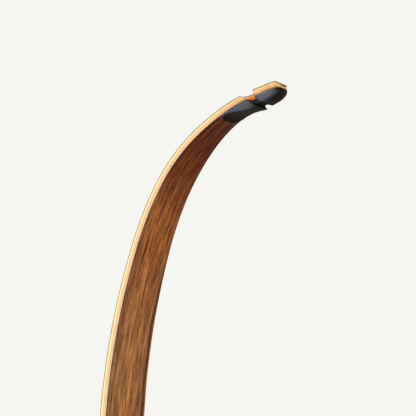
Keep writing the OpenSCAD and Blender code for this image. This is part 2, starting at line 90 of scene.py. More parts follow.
def colour(title, text, value):
    return FloatVectorProperty(name=title, description=text, default=value, subtype="COLOR", size=3, min=0, max=1)


class BowLimb(bpy.types.PropertyGroup):
    """Line, outline and laminations of a limb"""

    pad_angle: angle("Pad angle", "Lean of the limb pad back from the riser's line", 13)
    limb_straight: length("Straight butt", "Straight stretch at the butt of the limb", 110)
    bend_r1: length("First bend", "Radius of the long bend after the butt", 700)
    bend_a1: angle("First bend angle", "How far the first bend turns", 19.6)
    bend_r2: length("Second bend", "Radius of the second bend", 380)
    bend_a2: angle("Second bend angle", "How far the second bend turns", 15.8)
    bend_r3: length("Third bend", "Radius of the third bend", 170)
    bend_a3: angle("Third bend angle", "How far the third bend turns", 13.4)
    bend_r4: length("Hook bend", "Radius of the recurve's hook", 110)
    bend_a4: angle("Hook angle", "How far the hook turns", 46.5)
    bend_r5: length("Tip bend", "Radius of the almost straight tip", 272)
    tip_len: length("Tip length", "Length of the tip after the hook", 35.5)
    half_w_butt: length("Half width, butt", "Half of the limb's width at its butt", 21.5)
    half_w_mid: length("Half width, middle", "Half of the limb's width at its middle stretch", 18.75)
    half_w_upper: length("Half width, upper", "Half of the limb's width at its upper stretch", 16)
    half_w_hook: length("Half width, hook", "Half of the limb's width where the hook starts to widen", 13.1)
    half_w_tip: length("Half width, nock", "Half of the tip's width beside the string nock", 9.1)
    bulb_half_w: length("Half width, bulb", "Half of the bulb's width at the end of the tip", 8.3)
    mid_at: length("Middle stretch", "Distance from the tip end to the middle stretch's widening", 330)
    upper_at: length("Upper stretch", "Distance from the tip end to the upper stretch's widening", 200)
    hook_at: length("Hook stretch", "Distance from the tip end to the start of the hook's widening", 110)
    nock_end: length("Nock stretch", "Distance from the tip end to the end of the nock's even width", 45)
    butt_corner_r: length("Butt corners", "Radius of the butt's corners", 6)
    glass_t: length("Facing", "Thickness of each clear facing", 0.65)
    veneer_t: length("Veneer", "Thickness of the dark veneer under each facing", 0.4)
    core_t: length("Core lamination", "Thickness of each maple core lamination", 1.95)
    taper_mid: share("Taper, middle", "Thickness 250 mm from the tip, as a share of the butt's", 0.99)
    taper_nock: share("Taper, nock", "Thickness at the nock, as a share of the butt's", 0.85)
    taper_tip: share("Taper, tip", "Thickness at the tip, as a share of the butt's", 0.78)
    wedge_t: length("Wedge", "Thickness of the butt wedge", 6.5)
    wedge_flat: length("Wedge, full stretch", "Stretch of the wedge at full thickness", 78)
    wedge_len: length("Wedge, end", "Distance from the butt at which the wedge fades out", 150)
    corner: length("Sanded corners", "Radius of the sanded long corners of the limb", 0.4)


class BowTip(bpy.types.PropertyGroup):
    """String nock and tip overlay"""

    bulb_round: length("Bulb", "Length of the rounded end of the tip", 14)
    sanded_off: length("Sanded off", "Length sanded away from the very end of the tip", 0.05)
    bulb_lean: length("Bulb lean", "How far the filed end of the tip stands to the left, seen from the back", 1.3)
    bulb_left: number("Bulb, left", "Fullness of the bulb's left corner, seen from the back", 3.2, 1)
    bulb_right: number("Bulb, right", "Fullness of the bulb's right corner, seen from the back", 2.1, 1)
    groove_at: length("Groove", "Distance of the string groove from the tip end, at the overlay's back", 21.8)
    groove_slant: length("Groove slant", "How much further from the tip end the groove meets the belly", 7)
    groove_depth: length("Groove depth, back", "Depth of the groove in each edge at the back", 3.8)
    groove_depth_belly: length("Groove depth, belly", "Depth of the groove in each edge at the belly", 5.4)
    groove_w_back: length("Groove width, back", "Width of the groove at the back", 3.8)
    groove_w_belly: length("Groove width, belly", "Width of the groove at the belly", 11.2)
    saddle_depth: length("Saddle", "Depth of the groove across the overlay's back", 1.3)
    overlay_len: length("Overlay length", "Length of the overlay from the tip end", 57)
    overlay_round: length("Overlay round", "Length of the overlay's rounded lower end", 9)
    overlay_t: length("Overlay thickness", "Thickness of the overlay beside the groove", 5)
    overlay_tip_t: length("Overlay, tip", "Thickness of the overlay at the tip end", 1.9)
    overlay_lip: length("Overlay, lower end", "Thickness of the overlay at its lower end", 0.35)
    shoulder_slope: number("Shoulders", "Reach of the overlay's filed shoulders, in thicknesses of it", 1.15, 0)
    lip: length("Groove lip", "Radius of the polished lips of the string groove", 1.4)


class BowRiser(bpy.types.PropertyGroup):
    """Riser, grip and sight window"""

    riser_len: length("Riser length", "Length of the riser", 450)
    riser_mid: length("Riser middle", "Height of the riser's middle over the grip's throat", 20)
    pad_front: length("Pad edge", "How far in front of the throat the pad's outer end lies", 8)
    pad_len: length("Pad length", "Length of each limb pad", 88)
    shoulder_gap: length("Shoulder gap", "Gap between the limb's butt and the riser's shoulder", 1.2)
    shoulder_front: length("Shoulder", "Front of the riser at its shoulders", 41)
    grip_front: length("Grip front", "Front of the riser at the grip", 46)
    window_half_w: length("Half width, window", "Half of the riser's width at the sight window", 23)
    pad_half_w: length("Half width, pads", "Half of the riser's width at the limb pads", 22)
    throat_half_w: length("Half width, throat", "Half of the grip's width at its throat", 13.5)
    palm_half_w: length("Half width, palm", "Half of the grip's width at the palm swell", 17)
    heel_depth: length("Heel", "Depth of the grip's heel behind the throat", 25)
    heel_drop: length("Heel drop", "Distance of the grip's heel below the throat", 78)
    pad_back: length("Pad stretch", "How far the back of a pad's stretch lies behind the throat", 9)
    window_back: length("Window stretch", "How far the riser reaches behind the throat at the sight window", 18)
    end_round: length("Ends", "Radius of the riser's ends", 4)
    shelf_h: length("Shelf", "Height of the arrow shelf over the throat", 22)
    past_centre: length("Past centre", "How far the window is cut past the bow's middle plane", 3)
    window_h: length("Window height", "Height of the sight window", 84)
    sweep_h: length("Window sweep", "Height of the sweep over the window", 40)
    shelf_fillet: length("Shelf fillet", "Radius between the shelf and the window's wall", 1.5)
    shelf_pad_t: length("Shelf pad", "Thickness of the leather on the arrow shelf", 2)
    accent_front: length("Strips", "Front of the accent strips' middle line", 18)
    accent_sweep: length("Strip sweep", "How far the strips sweep back at the riser's ends", 17)
    pale_t: length("Pale strips", "Thickness of each pale strip", 2.5)
    dark_t: length("Dark strip", "Thickness of the dark strip", 5)


class BowFittings(bpy.types.PropertyGroup):
    """Limb bolts, pins and bushings"""

    bolt_at: length("Bolt place", "Distance of the limb bolt from the butt", 45)
    bolt_r: length("Bolt radius", "Outer radius of the limb bolt's thread", 3.9)
    bolt_engage: length("Bolt reach", "How far the bolt screws into the riser", 20)
    knob_r: length("Knob radius", "Radius of the bolt's knob", 12)
    knob_h: length("Knob height", "Height of the bolt's knob", 9.5)
    socket_af: length("Socket", "Width across the flats of the hexagon socket", 6)
    washer_r: length("Washer radius", "Radius of the limb washer", 10)
    washer_t: length("Washer thickness", "Thickness of the limb washer", 1.6)
    insert_r: length("Insert radius", "Outer radius of the threaded insert", 6.5)
    insert_len: length("Insert length", "Length of the threaded insert", 22)
    pin_low: length("Low pin", "Distance of the first locating pin from the butt", 18)
    pin_high: length("High pin", "Distance of the second locating pin from the butt", 70)
    pin_r: length("Pin radius", "Radius of the locating pins", 3)
    pin_out: length("Pin, free length", "How far the pins stand out of the pad", 7)
    pin_in: length("Pin, glued length", "How far the pins go into the riser", 12)
    accessory_r: length("Accessory thread", "Major radius of the stabiliser's and plunger's thread", 3.97)
    stabiliser_r: length("Stabiliser bushing", "Outer radius of the stabiliser bushing", 7)
    stabiliser_len: length("Stabiliser bushing length", "Length of the stabiliser bushing", 20)
    stabiliser_drop: length("Stabiliser place", "Distance of the stabiliser bushing under the throat", 85)
    plunger_r: length("Plunger bushing", "Outer radius of the plunger bushing", 5.5)
    plunger_h: length("Plunger height", "Height of the plunger bushing over the shelf", 20)
    plunger_front: length("Plunger place", "How far in front of the throat the plunger sits", 3)
    sight_thread_r: length("Sight thread", "Major radius of the sight screws' thread", 2.42)
    sight_r: length("Sight bushings", "Outer radius of the sight bushings", 4)
    sight_len: length("Sight bushing length", "Length of the sight bushings", 11)
    sight_pitch: length("Sight spacing", "Distance between the two sight bushings", 33.34)
    sight_h: length("Sight height", "Height of the lower sight bushing over the shelf", 40)
    sight_front: length("Sight place", "How far in front of the throat the sight bushings sit", 34)
    bushing_proud: length("Bushing flange", "How far the bushings stand proud of the wood", 0.6)
    coarse_pitch: length("Bolt pitch", "Pitch of the limb bolts' thread", 1.411)
    fine_pitch: length("Accessory pitch", "Pitch of the accessory threads", 1.058)


class BowColours(bpy.types.PropertyGroup):
    """Colours of the woods, facings and metals"""

    face_wood: colour("Face veneer", "Brown of the limbs' faces under the clear facing", (0.42, 0.185, 0.062))
    face_dark: colour("Face streaks, dark", "Dark pores and streaks of the face veneer", (0.075, 0.026, 0.014))
    face_light: colour("Face streaks, light", "Light streaks of the face veneer", (0.74, 0.38, 0.12))
    maple: colour("Pale maple", "The belly-side core lamination", (0.95, 0.78, 0.41))
    rosy_maple: colour("Rosy maple", "The back-side core lamination", (0.91, 0.54, 0.25))
    belly_line: colour("Belly facing edge", "Edge of the facing on the belly", (0.17, 0.080, 0.030))
    # Painted highlight in part: the back facing's edge is made pale, partly the clear glass's own edge and partly
    # standing in for the highlight on its sanded corner; the belly facing keeps a dark edge
    back_line: colour("Back facing edge", "Edge of the facing on the back", (0.72, 0.62, 0.55))
    overlay: colour("Overlay", "Black of the tip overlays' buffed backs", (0.013, 0.007, 0.006))
    # Painted sheen: a blue-grey laid on the overlays' shoulders, standing in for the reflection of the floor and the
    # lamps on the black
    overlay_filed: colour("Overlay, filed", "Satin black of the tip overlays' filed shoulders", (0.101, 0.118, 0.135))
    walnut: colour("Riser wood", "Main colour of the riser's walnut", (0.17, 0.072, 0.031))
    walnut_dark: colour("Riser figure", "Dark figure in the riser's walnut", (0.052, 0.021, 0.011))
    strip_pale: colour("Pale strips", "The riser's pale strips", (0.80, 0.58, 0.32))
    strip_dark: colour("Dark strip", "The riser's dark strip", (0.030, 0.014, 0.009))
    brass: colour("Brass", "Inserts, pins and bushings", (0.78, 0.56, 0.24))
    steel: colour("Steel", "The limb bolts", (0.62, 0.61, 0.60))
    black_oxide: colour("Black oxide", "The limb washers", (0.035, 0.036, 0.040))
    leather: colour("Leather", "The shelf pad", (0.085, 0.040, 0.022))
    floor: colour("Floor", "Floor of the studio", (0.86, 0.86, 0.84))


def read(group):
    """A settings group as plain values, its lengths in millimetres"""
    values = {}
    for name in type(group).__annotations__:
        prop, value = group.bl_rna.properties[name], getattr(group, name)
        if prop.is_array:
            value = tuple(value)
        elif prop.unit == "LENGTH":
            value = value / MM
        values[name] = value
    return SimpleNamespace(**values)


# Shape functions, the same as the solids have


def mix(a, b, t):
    return a + (b - a) * t


def clip(v, lo, hi):
    return min(max(v, lo), hi)


def bulge(t):
    """From 0 to 1 as a quarter round rises: steep at first, level at its end"""
    return math.sqrt(max(0.0, 1 - (1 - clip(t, 0, 1)) ** 2))


def squared_bulge(t, power=3.0):
    """A quarter round with a fuller corner, the fuller the higher the power"""
    return (1 - (1 - clip(t, 0, 1)) ** power) ** (1 / power)


def ease(t):
    """From 0 to 1 with a soft start and a soft end"""
    return 0.5 - 0.5 * math.cos(math.pi * clip(t, 0, 1))


def curve(table, column, v):
    """A smooth line through the table's points that never overshoots them"""
    v = clip(v, table[0][0], table[-1][0])
    i = 0
    while i < len(table) - 2 and v > table[i + 1][0]:
        i += 1

    def chord(k):
        return (table[k + 1][column] - table[k][column]) / (table[k + 1][0] - table[k][0])

    def slope(k):
        if k == 0 or k == len(table) - 1:
            return 0.0
        a, b = chord(k - 1), chord(k)
        return 0.0 if a * b <= 0 else 2 * a * b / (a + b)

    h = table[i + 1][0] - table[i][0]
    t = (v - table[i][0]) / h
    return (
        table[i][column] * (2 * t ** 3 - 3 * t ** 2 + 1)
        + table[i + 1][column] * (3 * t ** 2 - 2 * t ** 3)
        + h * slope(i) * (t ** 3 - 2 * t ** 2 + t)
        + h * slope(i + 1) * (t ** 3 - t ** 2)
    )


def evenly(a, b, step):
    """Even stations from a to b, without b itself"""
    n = max(1, math.ceil((b - a) / step))
    return [mix(a, b, i / n) for i in range(n)]


def quarter(steps):
    """Angles from nothing to a quarter turn"""
    return [i * math.pi / (2 * steps) for i in range(steps + 1)]


def rounding(radius, steps):
    """Stations over a rounded end, closest where it is steepest, without the last"""
    return [radius * (1 - math.cos(a)) for a in quarter(steps)[:-1]]


class LimbShape:
    """One limb in lath space: distance from the butt, width and height in the stack, in millimetres"""

    RISE_AT_BULB, RISE_AT_GROOVE = 0.82, 0.88  # shares of the overlay's thickness
    SADDLE_REACH = 1.3  # length of the overlay's saddle, in widths of the groove
    END_LEFT, END_SANDED = 0.12, 3.6  # share of the thickness left at the very end, and the length sanded down to it
    END_HALF_W, END_STEP = 1.1, 0.1  # half width of the flat at the very end, and its length
    GROOVE_BLEND, BULB_BLEND = 8, 0.5  # how far past the groove, and past the bulb, the stations start to slant
    LONG_STEP, TIP_STEP = 4.0, 1.6  # between stations along the limb, and under the overlay

    def __init__(self):
        self.limb = limb = read(bpy.context.scene.bow_limb)
        self.tip = tip = read(bpy.context.scene.bow_tip)
        r = read(bpy.context.scene.bow_riser)
        self.bends = [(limb.bend_r1, limb.bend_a1), (limb.bend_r2, limb.bend_a2), (limb.bend_r3, limb.bend_a3),
                      (limb.bend_r4, limb.bend_a4), (limb.bend_r5, limb.tip_len / limb.bend_r5)]
        self.length = limb.limb_straight + sum(radius * turn for radius, turn in self.bends)
        self.half_t = limb.glass_t + limb.veneer_t + limb.core_t
        self.butt_t = 2 * self.half_t + limb.wedge_t
        self.bulb_at = tip.bulb_round + tip.sanded_off
        groove_end = tip.groove_at + tip.groove_w_back
        # Tables by distance from the tip end: half width, share of the butt's thickness, thickness of the overlay
        self.outline = [
            (self.bulb_at, limb.bulb_half_w), (groove_end, limb.half_w_tip), (limb.nock_end, limb.half_w_tip),
            (limb.hook_at, limb.half_w_hook), (limb.upper_at, limb.half_w_upper), (limb.mid_at, limb.half_w_mid),
            (self.length - limb.butt_corner_r, limb.half_w_butt),
        ]
        self.tapers = [
            (0, limb.taper_tip), (0.9 * tip.bulb_round, mix(limb.taper_tip, limb.taper_nock, 0.45)),
            (limb.nock_end, limb.taper_nock), (1.1 * limb.hook_at, limb.taper_mid - 0.01),
            (1.25 * limb.upper_at, limb.taper_mid), (self.length - limb.wedge_len, 1), (self.length, 1),
        ]
        self.rise = [
            (0, tip.overlay_tip_t), (tip.bulb_round, self.RISE_AT_BULB * tip.overlay_t),
            (tip.groove_at - 2, self.RISE_AT_GROOVE * tip.overlay_t), (groove_end, tip.overlay_t),
            (tip.overlay_len, tip.overlay_lip),
        ]
        self.stack_t = self.half_t * 2 * limb.taper_nock + tip.overlay_t
        self.overlay_from = self.length - tip.overlay_len
        self.pad = (r.pad_front + r.pad_len * math.sin(limb.pad_angle),
                    r.riser_mid + r.riser_len / 2 - r.pad_len * math.cos(limb.pad_angle))
        self.mirror_z = 2 * r.riser_mid
        # Ends of the zones on both sides of the string groove in which the stations give way to its slant
        self.blend_far = tip.groove_at + tip.groove_slant + tip.groove_w_belly / 2 + self.GROOVE_BLEND
        self.blend_near = self.bulb_at + self.BULB_BLEND

    def centre(self, s):
        """Place and lean of the limb's middle line at a distance from the butt, before the pad's own angle"""
        if s <= self.limb.limb_straight:
            return 0.0, s, 0.0
        left, x, z, lean = s - self.limb.limb_straight, 0.0, self.limb.limb_straight, 0.0
        for i, (radius, turn) in enumerate(self.bends):
            here = left if i == len(self.bends) - 1 else min(left, radius * turn)
            swing = here / radius
            x += radius * (math.cos(lean) - math.cos(lean + swing))
            z += radius * (math.sin(lean + swing) - math.sin(lean))
            lean += swing
            left -= here
            if left <= 0:
                break
        return x, z, lean

    def up_bulb(self, s):
        """From 0 at the sanded end of the bulb to 1 where its rounding starts, and on"""
        return (self.length - s - self.tip.sanded_off) / self.tip.bulb_round

    def half_width(self, s, side=1):
        """Half width of the limb, its bulb fuller on one side than on the other"""
        limb, d = self.limb, self.length - s
        if d < self.bulb_at:
            full = self.tip.bulb_left if side < 0 else self.tip.bulb_right
            return max(self.END_HALF_W, limb.bulb_half_w * squared_bulge(self.up_bulb(s), full))
        if s < limb.butt_corner_r:
            return limb.half_w_butt - limb.butt_corner_r * (1 - bulge(s / limb.butt_corner_r))
        return curve(self.outline, 1, d)

    def lean(self, s):
        """How far the rounded end is filed to one side"""
        return -self.tip.bulb_lean * (1 - clip(self.up_bulb(s), 0, 1)) ** 1.5

    def overlay_h(self, s):
        """Thickness of the overlay, with the saddle that the string has"""
        d = self.length - s
        reach = self.tip.groove_w_back * self.SADDLE_REACH
        dip = max(0.0, 1 - (2 * (d - self.tip.groove_at) / reach) ** 2)
        return curve(self.rise, 1, d) - self.tip.saddle_depth * dip ** 0.7

    def level(self, k, s):
        """Height of surface k of the stack: 0 is the belly, 3 the middle, 7 the back, 8 the overlay's back"""
        limb, d, half_t = self.limb, self.length - s, self.half_t
        taper = curve(self.tapers, 1, d)
        wedge = limb.wedge_t * (1 - ease((s - limb.wedge_flat) / (limb.wedge_len - limb.wedge_flat)))
        if k == 8:
            return wedge + taper * half_t + self.overlay_h(s)
        heights = (-half_t, limb.glass_t - half_t, -limb.core_t, 0, 0, limb.core_t, half_t - limb.glass_t, half_t)
        # At the very end the belly is sanded round to the back
        left = mix(self.END_LEFT, 1, bulge((d - self.tip.sanded_off) / self.END_SANDED))
        return (wedge if k > 3 else 0) + taper * (half_t - (half_t - heights[k]) * left)

    def station(self, column, n):
        """Distance from the butt and depth of the groove at a column, for a height n in the stack"""
        tip, (zone, v) = self.tip, column
        if zone == "plain":
            return v, 0.0
        p = clip((n + self.half_t * self.limb.taper_nock) / self.stack_t, 0, 1)
        middle = tip.groove_at + tip.groove_slant * (1 - p)
        half = mix(tip.groove_w_belly, tip.groove_w_back, p) / 2
        depth = mix(tip.groove_depth_belly, tip.groove_depth, p)
        start = math.asin(tip.lip / depth)
        far, near = middle + half * math.cos(start) + tip.lip, middle - half * math.cos(start) - tip.lip
        if zone == "far":
            return self.length - mix(self.blend_far, far, v), 0.0
        if zone == "near":
            return self.length - mix(near, self.blend_near, v), 0.0
        if zone == "far lip":
            return self.length - far + tip.lip * math.sin(v), tip.lip * (1 - math.cos(v))
        if zone == "near lip":
            return self.length - near - tip.lip * math.cos(v), tip.lip * (1 - math.sin(v))
        turn = mix(start, math.pi - start, v)
        return self.length - middle - half * math.cos(turn), depth * math.sin(turn)

    def columns(self, end=None):
        """Stations along the limb, closest at the butt's corners, the groove and the bulb"""
        limb, tip = self.limb, self.tip
        under_overlay = self.overlay_from + tip.overlay_round
        plain = rounding(limb.butt_corner_r, 12) + evenly(limb.butt_corner_r, self.overlay_from, self.LONG_STEP)
        plain += [self.overlay_from + s for s in rounding(tip.overlay_round, 14)]
        plain += evenly(under_overlay, self.length - self.blend_far, self.TIP_STEP)
        if end is not None:
            return [("plain", s) for s in plain if s < end] + [("plain", end)]
        last = self.length - tip.sanded_off - self.END_STEP
        row = [("plain", s) for s in plain]
        row += [("far", i / 12) for i in range(12)] + [("far lip", a) for a in quarter(5)[:-1]]
        row += [("floor", i / 22) for i in range(23)] + [("near lip", a) for a in quarter(5)[1:]]
        row += [("near", i / 8) for i in range(1, 9)]
        row += [("plain", last - tip.bulb_round * (1 - math.sin(a))) for a in quarter(22)[:20]]
        return row + [("plain", last)]

    def overlay_columns(self):
        return [(zone, v) for zone, v in self.columns() if zone != "plain" or v > self.overlay_from + 0.02]

    def bend(self, mesh, lower):
        """Bends a lath along the limb's line, keeping its straight coordinates in the attribute lay"""
        lay = mesh.attributes.new("lay", "FLOAT_VECTOR", "POINT")
        for vertex in mesh.vertices:
            s, y, n = vertex.co
            lay.data[vertex.index].vector = (s, y, n)
            vertex.co = self.at(s / MM, n / MM, y / MM, lower)
        if not lower:
            mesh.flip_normals()

    def at(self, s, n, y, lower=False):
        """Point of the bow's frame, in metres, for a point of lath space"""
        x, z, lean = self.centre(s)
        x, z = x + n * math.cos(lean) + self.half_t, z - n * math.sin(lean)
        cosine, sine = math.cos(self.limb.pad_angle), math.sin(self.limb.pad_angle)
        out_x, out_z = self.pad[0] + x * cosine - z * sine, self.pad[1] + x * sine + z * cosine
        return Vector((out_x, y, self.mirror_z - out_z if lower else out_z)) * MM


class RiserShape:
    """The riser's sections, in millimetres"""

    SEAT_GAP = 0.02  # how far the pad lies clear of the limb's belly
    SHOULDER_STEP = 2.5  # height over which a pad steps up to the riser's shoulder
    SHELF_STEP = 0.4  # height over which the arrow shelf runs in to the window's wall
    SECTION_SHARE = 0.98  # share of a section's depth in use, so that it doesn't close to an edge
    WALL_EASING, WALL_POWER = 5, 10  # how the window's wall is eased towards the front and the back

    def __init__(self):
        self.r = r = read(bpy.context.scene.bow_riser)
        self.pad_lean = bpy.context.scene.bow_limb.pad_angle
        self.top = r.riser_mid + r.riser_len / 2
        self.bottom = r.riser_mid - r.riser_len / 2
        self.shoulder = self.top - r.pad_len * math.cos(self.pad_lean) - r.shoulder_gap
        self.low_shoulder = 2 * r.riser_mid - self.shoulder
        self.window_top = r.shelf_h + r.window_h
        # Height, back of the section, half width, squareness
        self.body = [
            (self.bottom, -r.pad_back, r.pad_half_w, 6),
            (self.bottom + r.pad_len / 2, -r.pad_back - 0.5, r.pad_half_w, 6),
            (self.low_shoulder, -1.55 * r.pad_back, r.pad_half_w, 5),
            (-r.heel_drop - 20, -0.88 * r.heel_depth, r.pad_half_w - 3, 3.5),
            (-r.heel_drop, -r.heel_depth, r.palm_half_w + 0.5, 2.6),
            (-0.58 * r.heel_drop, -0.64 * r.heel_depth, r.palm_half_w, 2.3),
            (-0.23 * r.heel_drop, -0.14 * r.heel_depth, r.throat_half_w + 0.8, 2.3),
            (0, 0, r.throat_half_w, 2.4),
            (0.41 * r.shelf_h, -2.5, r.throat_half_w + 1.5, 2.6),
            (r.shelf_h - 4, -0.72 * r.window_back, r.window_half_w - 1.5, 3.6),
            (r.shelf_h + 10, -r.window_back, r.window_half_w, 5),
            (self.window_top, 1 - r.window_back, r.window_half_w, 5),
            (self.shoulder, -2 / 3 * r.window_back, r.pad_half_w, 5),
            (self.top - r.pad_len / 2, -r.pad_back - 0.5, r.pad_half_w, 6),
            (self.top, -r.pad_back, r.pad_half_w, 6),
        ]
        # Height, front of the section
        self.face = [
            (self.bottom, r.pad_front + 18), (self.low_shoulder, r.shoulder_front),
            (-10 / 13 * r.heel_drop, r.grip_front - 2), (0, r.grip_front), (r.shelf_h + 30, r.grip_front - 1),
            (self.shoulder, r.shoulder_front), (self.top, r.pad_front + 18),
        ]

    def from_end(self, z):
        return self.top - self.r.riser_mid - abs(z - self.r.riser_mid)

    def pad_plane(self, z):
        """Front of a limb pad"""
        clear = self.SEAT_GAP / math.cos(self.pad_lean)
        return self.r.pad_front - clear + self.from_end(z) * math.tan(self.pad_lean)

    def front(self, z):
        """Front of the riser: its pads, and between them its face"""
        past = abs(z - self.r.riser_mid) - (self.shoulder - self.r.riser_mid)
        pad = self.pad_plane(z)
        return pad if past >= 0 else mix(pad, curve(self.face, 1, z), ease(-past / self.SHOULDER_STEP))

    def inset(self, z):
        """How far the rounded ends stand back"""
        return self.r.end_round * (1 - bulge(self.from_end(z) / self.r.end_round))

    def back(self, z):
        return curve(self.body, 1, z) + self.inset(z)

    def wall(self, z):
        """How far the left side may reach: the window's wall, the sweep over it, or clear of the wood"""
        r, up = self.r, z - self.r.shelf_h
        wall, clear = -r.past_centre, r.window_half_w + 2
        if up <= -self.SHELF_STEP:
            return clear
        if up <= 0:
            return mix(clear, wall + r.shelf_fillet, (up + self.SHELF_STEP) / self.SHELF_STEP)
        if up < r.shelf_fillet:
            return wall + r.shelf_fillet * (1 - bulge(up / r.shelf_fillet))
        return wall if up < r.window_h else mix(wall, clear, ease((up - r.window_h) / r.sweep_h))

    def half(self, z, x):
        """Half width of the riser's full section"""
        a, b = self.back(z), curve(self.face, 1, z)
        u = clip((2 * x - a - b) / (b - a), -1, 1) * self.SECTION_SHARE
        n = curve(self.body, 3, z)
        return (curve(self.body, 2, z) - self.inset(z)) * (1 - abs(u) ** n) ** (1 / n)

    def left(self, z, x):
        """Reach of the left side, where the window is cut away"""
        a, b = self.back(z), self.front(z)
        u = clip((2 * x - a - b) / (b - a), -1, 1)
        return min(self.half(z, x), self.wall(z) - self.WALL_EASING * abs(u) ** self.WALL_POWER)

    def heights(self):
        """Heights of the riser's sections, closest at its ends, its shoulders and the shelf"""
        r, e, shelf = self.r, self.r.end_round, self.r.shelf_h
        low_pad, high_pad = self.low_shoulder + self.SHOULDER_STEP, self.shoulder - self.SHOULDER_STEP
        sweep_end = self.window_top + r.sweep_h
        rows = [self.bottom + h for h in rounding(e, 8)]
        for a, b, step in (
            (self.bottom + e, self.low_shoulder, 5), (self.low_shoulder, low_pad, 0.5), (low_pad, shelf - 4, 2.5),
            (shelf - 4, shelf - self.SHELF_STEP, 1.2),
        ):
            rows += evenly(a, b, step)
        rows += [shelf - self.SHELF_STEP, shelf] + [shelf + h for h in rounding(r.shelf_fillet, 6)[1:]]
        for a, b, step in (
            (shelf + r.shelf_fillet, self.window_top, 5), (self.window_top, sweep_end, 2), (sweep_end, high_pad, 3),
            (high_pad, self.shoulder, 0.5), (self.shoulder, self.top - e, 5),
        ):
            rows += evenly(a, b, step)
        return rows + [self.top - e * (1 - math.sin(a)) for a in quarter(8)]

    def split(self, k, z):
        """Joint k between the riser's layers: 0 is its back, 5 its front"""
        r = self.r
        line = r.accent_front - r.accent_sweep * ((z - r.riser_mid) / (r.riser_len / 2)) ** 2
        steps = (0, -r.dark_t / 2 - r.pale_t, -r.dark_t / 2, r.dark_t / 2, r.dark_t / 2 + r.pale_t)
        return self.back(z) if k == 0 else self.front(z) if k == 5 else line + steps[k]


# Mesh helpers


def loft(rings, filing=None):
    """A closed solid: the first ring's face is extruded from ring to ring, with each point's share: the groove's depth
    on a lamination, painted sheen on an overlay
    """
    bm = bmesh.new()
    number = bm.verts.layers.int.new("ring")
    # On an overlay the layer filed carries painted sheen, on a lamination the depth of the groove
    filed = bm.verts.layers.float.new("filed") if filing else None
    for i, place in enumerate(rings[0]):
        vertex = bm.verts.new(place)
        vertex[number] = i
        if filing:
            vertex[filed] = filing[0][i]
    face = bm.faces.new(list(bm.verts))
    for k, ring in enumerate(rings[1:], 1):
        grown = bmesh.ops.extrude_face_region(bm, geom=[face])["geom"]
        if k > 1:
            bmesh.ops.delete(bm, geom=[face], context="FACES_ONLY")
        face = next(g for g in grown if isinstance(g, bmesh.types.BMFace))
        for vertex in face.verts:
            vertex.co = ring[vertex[number]]
            if filing:
                vertex[filed] = filing[k][vertex[number]]
    bmesh.ops.recalc_face_normals(bm, faces=bm.faces)
    bm.verts.layers.int.remove(number)
    return bm


def limb_loft(columns, half, point):
    """A solid of a limb: each ring runs over the steps of one half and back over those of the other"""
    rings, filing = [], []
    for column in columns:
        ring = [point(column, step, -1) for step in half] + [point(column, step, 1) for step in reversed(half)]
        rings.append([place for place, filed in ring])
        filing.append([filed for place, filed in ring])
    return loft(rings, filing)


def turned(profile, segments=64):
    """A solid of revolution about Z from a profile of radius and height, in millimetres"""
    bm = bmesh.new()
    line = [bm.verts.new((r * MM, 0, z * MM)) for r, z in profile]
    edges = [bm.edges.new((a, b)) for a, b in zip(line, line[1:])]
    bmesh.ops.spin(bm, geom=line + edges, cent=(0, 0, 0), axis=(0, 0, 1), angle=TURN, steps=segments, use_merge=True)
    bmesh.ops.remove_doubles(bm, verts=bm.verts, dist=1e-7)
    bmesh.ops.recalc_face_normals(bm, faces=bm.faces)
    return bm


def tube_profile(outer, inner, low, high, eased, sink):
    """Profile of a tube with eased rims and a countersunk mouth, closed on itself"""
    return [(inner, low + eased), (inner + eased, low), (outer - eased, low), (outer, low + eased),
            (outer, high - eased), (outer - eased, high), (inner + sink, high), (inner, high - sink),
            (inner, low + eased)]


THREAD_DEPTH = 0.55  # depth of a thread, as a share of its pitch


def thread(radius, pitch, low, high, inward=False, segments=36):
    """A ridge wound round Z like a V-thread, its sizes in millimetres"""
    radius, pitch, low, high = (size * MM for size in (radius, pitch, low, high))
    bm = bmesh.new()
    depth = pitch * THREAD_DEPTH
    # In a bore the root lies a little inside the metal that carries the ridge
    root = radius + depth * 0.12 if inward else radius - depth
    crest = radius - depth if inward else radius
    root_half, crest_half = 0.44, 0.07  # in pitches
    section = [(root, -root_half), (crest, -crest_half), (crest, crest_half), (root, root_half)]
    ring = bm.faces.new([bm.verts.new((r, 0, low + h * pitch)) for r, h in section])
    turns = (high - low) / pitch
    steps = int(turns * segments)
    bmesh.ops.spin(bm, geom=[ring], cent=(0, 0, 0), axis=(0, 0, 1), dvec=(0, 0, (high - low) / steps),
                   angle=TURN * turns, steps=steps, use_duplicate=False)
    bmesh.ops.recalc_face_normals(bm, faces=bm.faces)
    return bm


def cylinder(radius, low, high, segments=64):
    """A cutter round Z, its sizes in millimetres"""
    radius, low, high = (size * MM for size in (radius, low, high))
    bm = bmesh.new()
    bmesh.ops.create_cone(bm, cap_ends=True, segments=segments, radius1=radius, radius2=radius, depth=high - low,
                          matrix=Matrix.Translation((0, 0, (low + high) / 2)))
    return bm


def mesh_from(name, bm):
    """The bmesh as a mesh; the bmesh is used up"""
    mesh = bpy.data.meshes.new(name)
    bm.to_mesh(mesh)
    bm.free()
    return mesh


def shown(name, data):
    """A new object in the scene"""
    ob = bpy.data.objects.new(name, data)
    bpy.context.scene.collection.objects.link(ob)
    return ob


def join(*parts):
    """Puts several bmeshes into one"""
    whole = bmesh.new()
    for part in parts:
        mesh = mesh_from("joined", part)
        whole.from_mesh(mesh)
        bpy.data.meshes.remove(mesh)
    return whole


def moved(bm, matrix):
    """The bmesh moved, and kept right side out where the matrix mirrors it"""
    bmesh.ops.transform(bm, matrix=matrix, verts=bm.verts)
    if matrix.determinant() < 0:
        bmesh.ops.reverse_faces(bm, faces=bm.faces)
    return bm


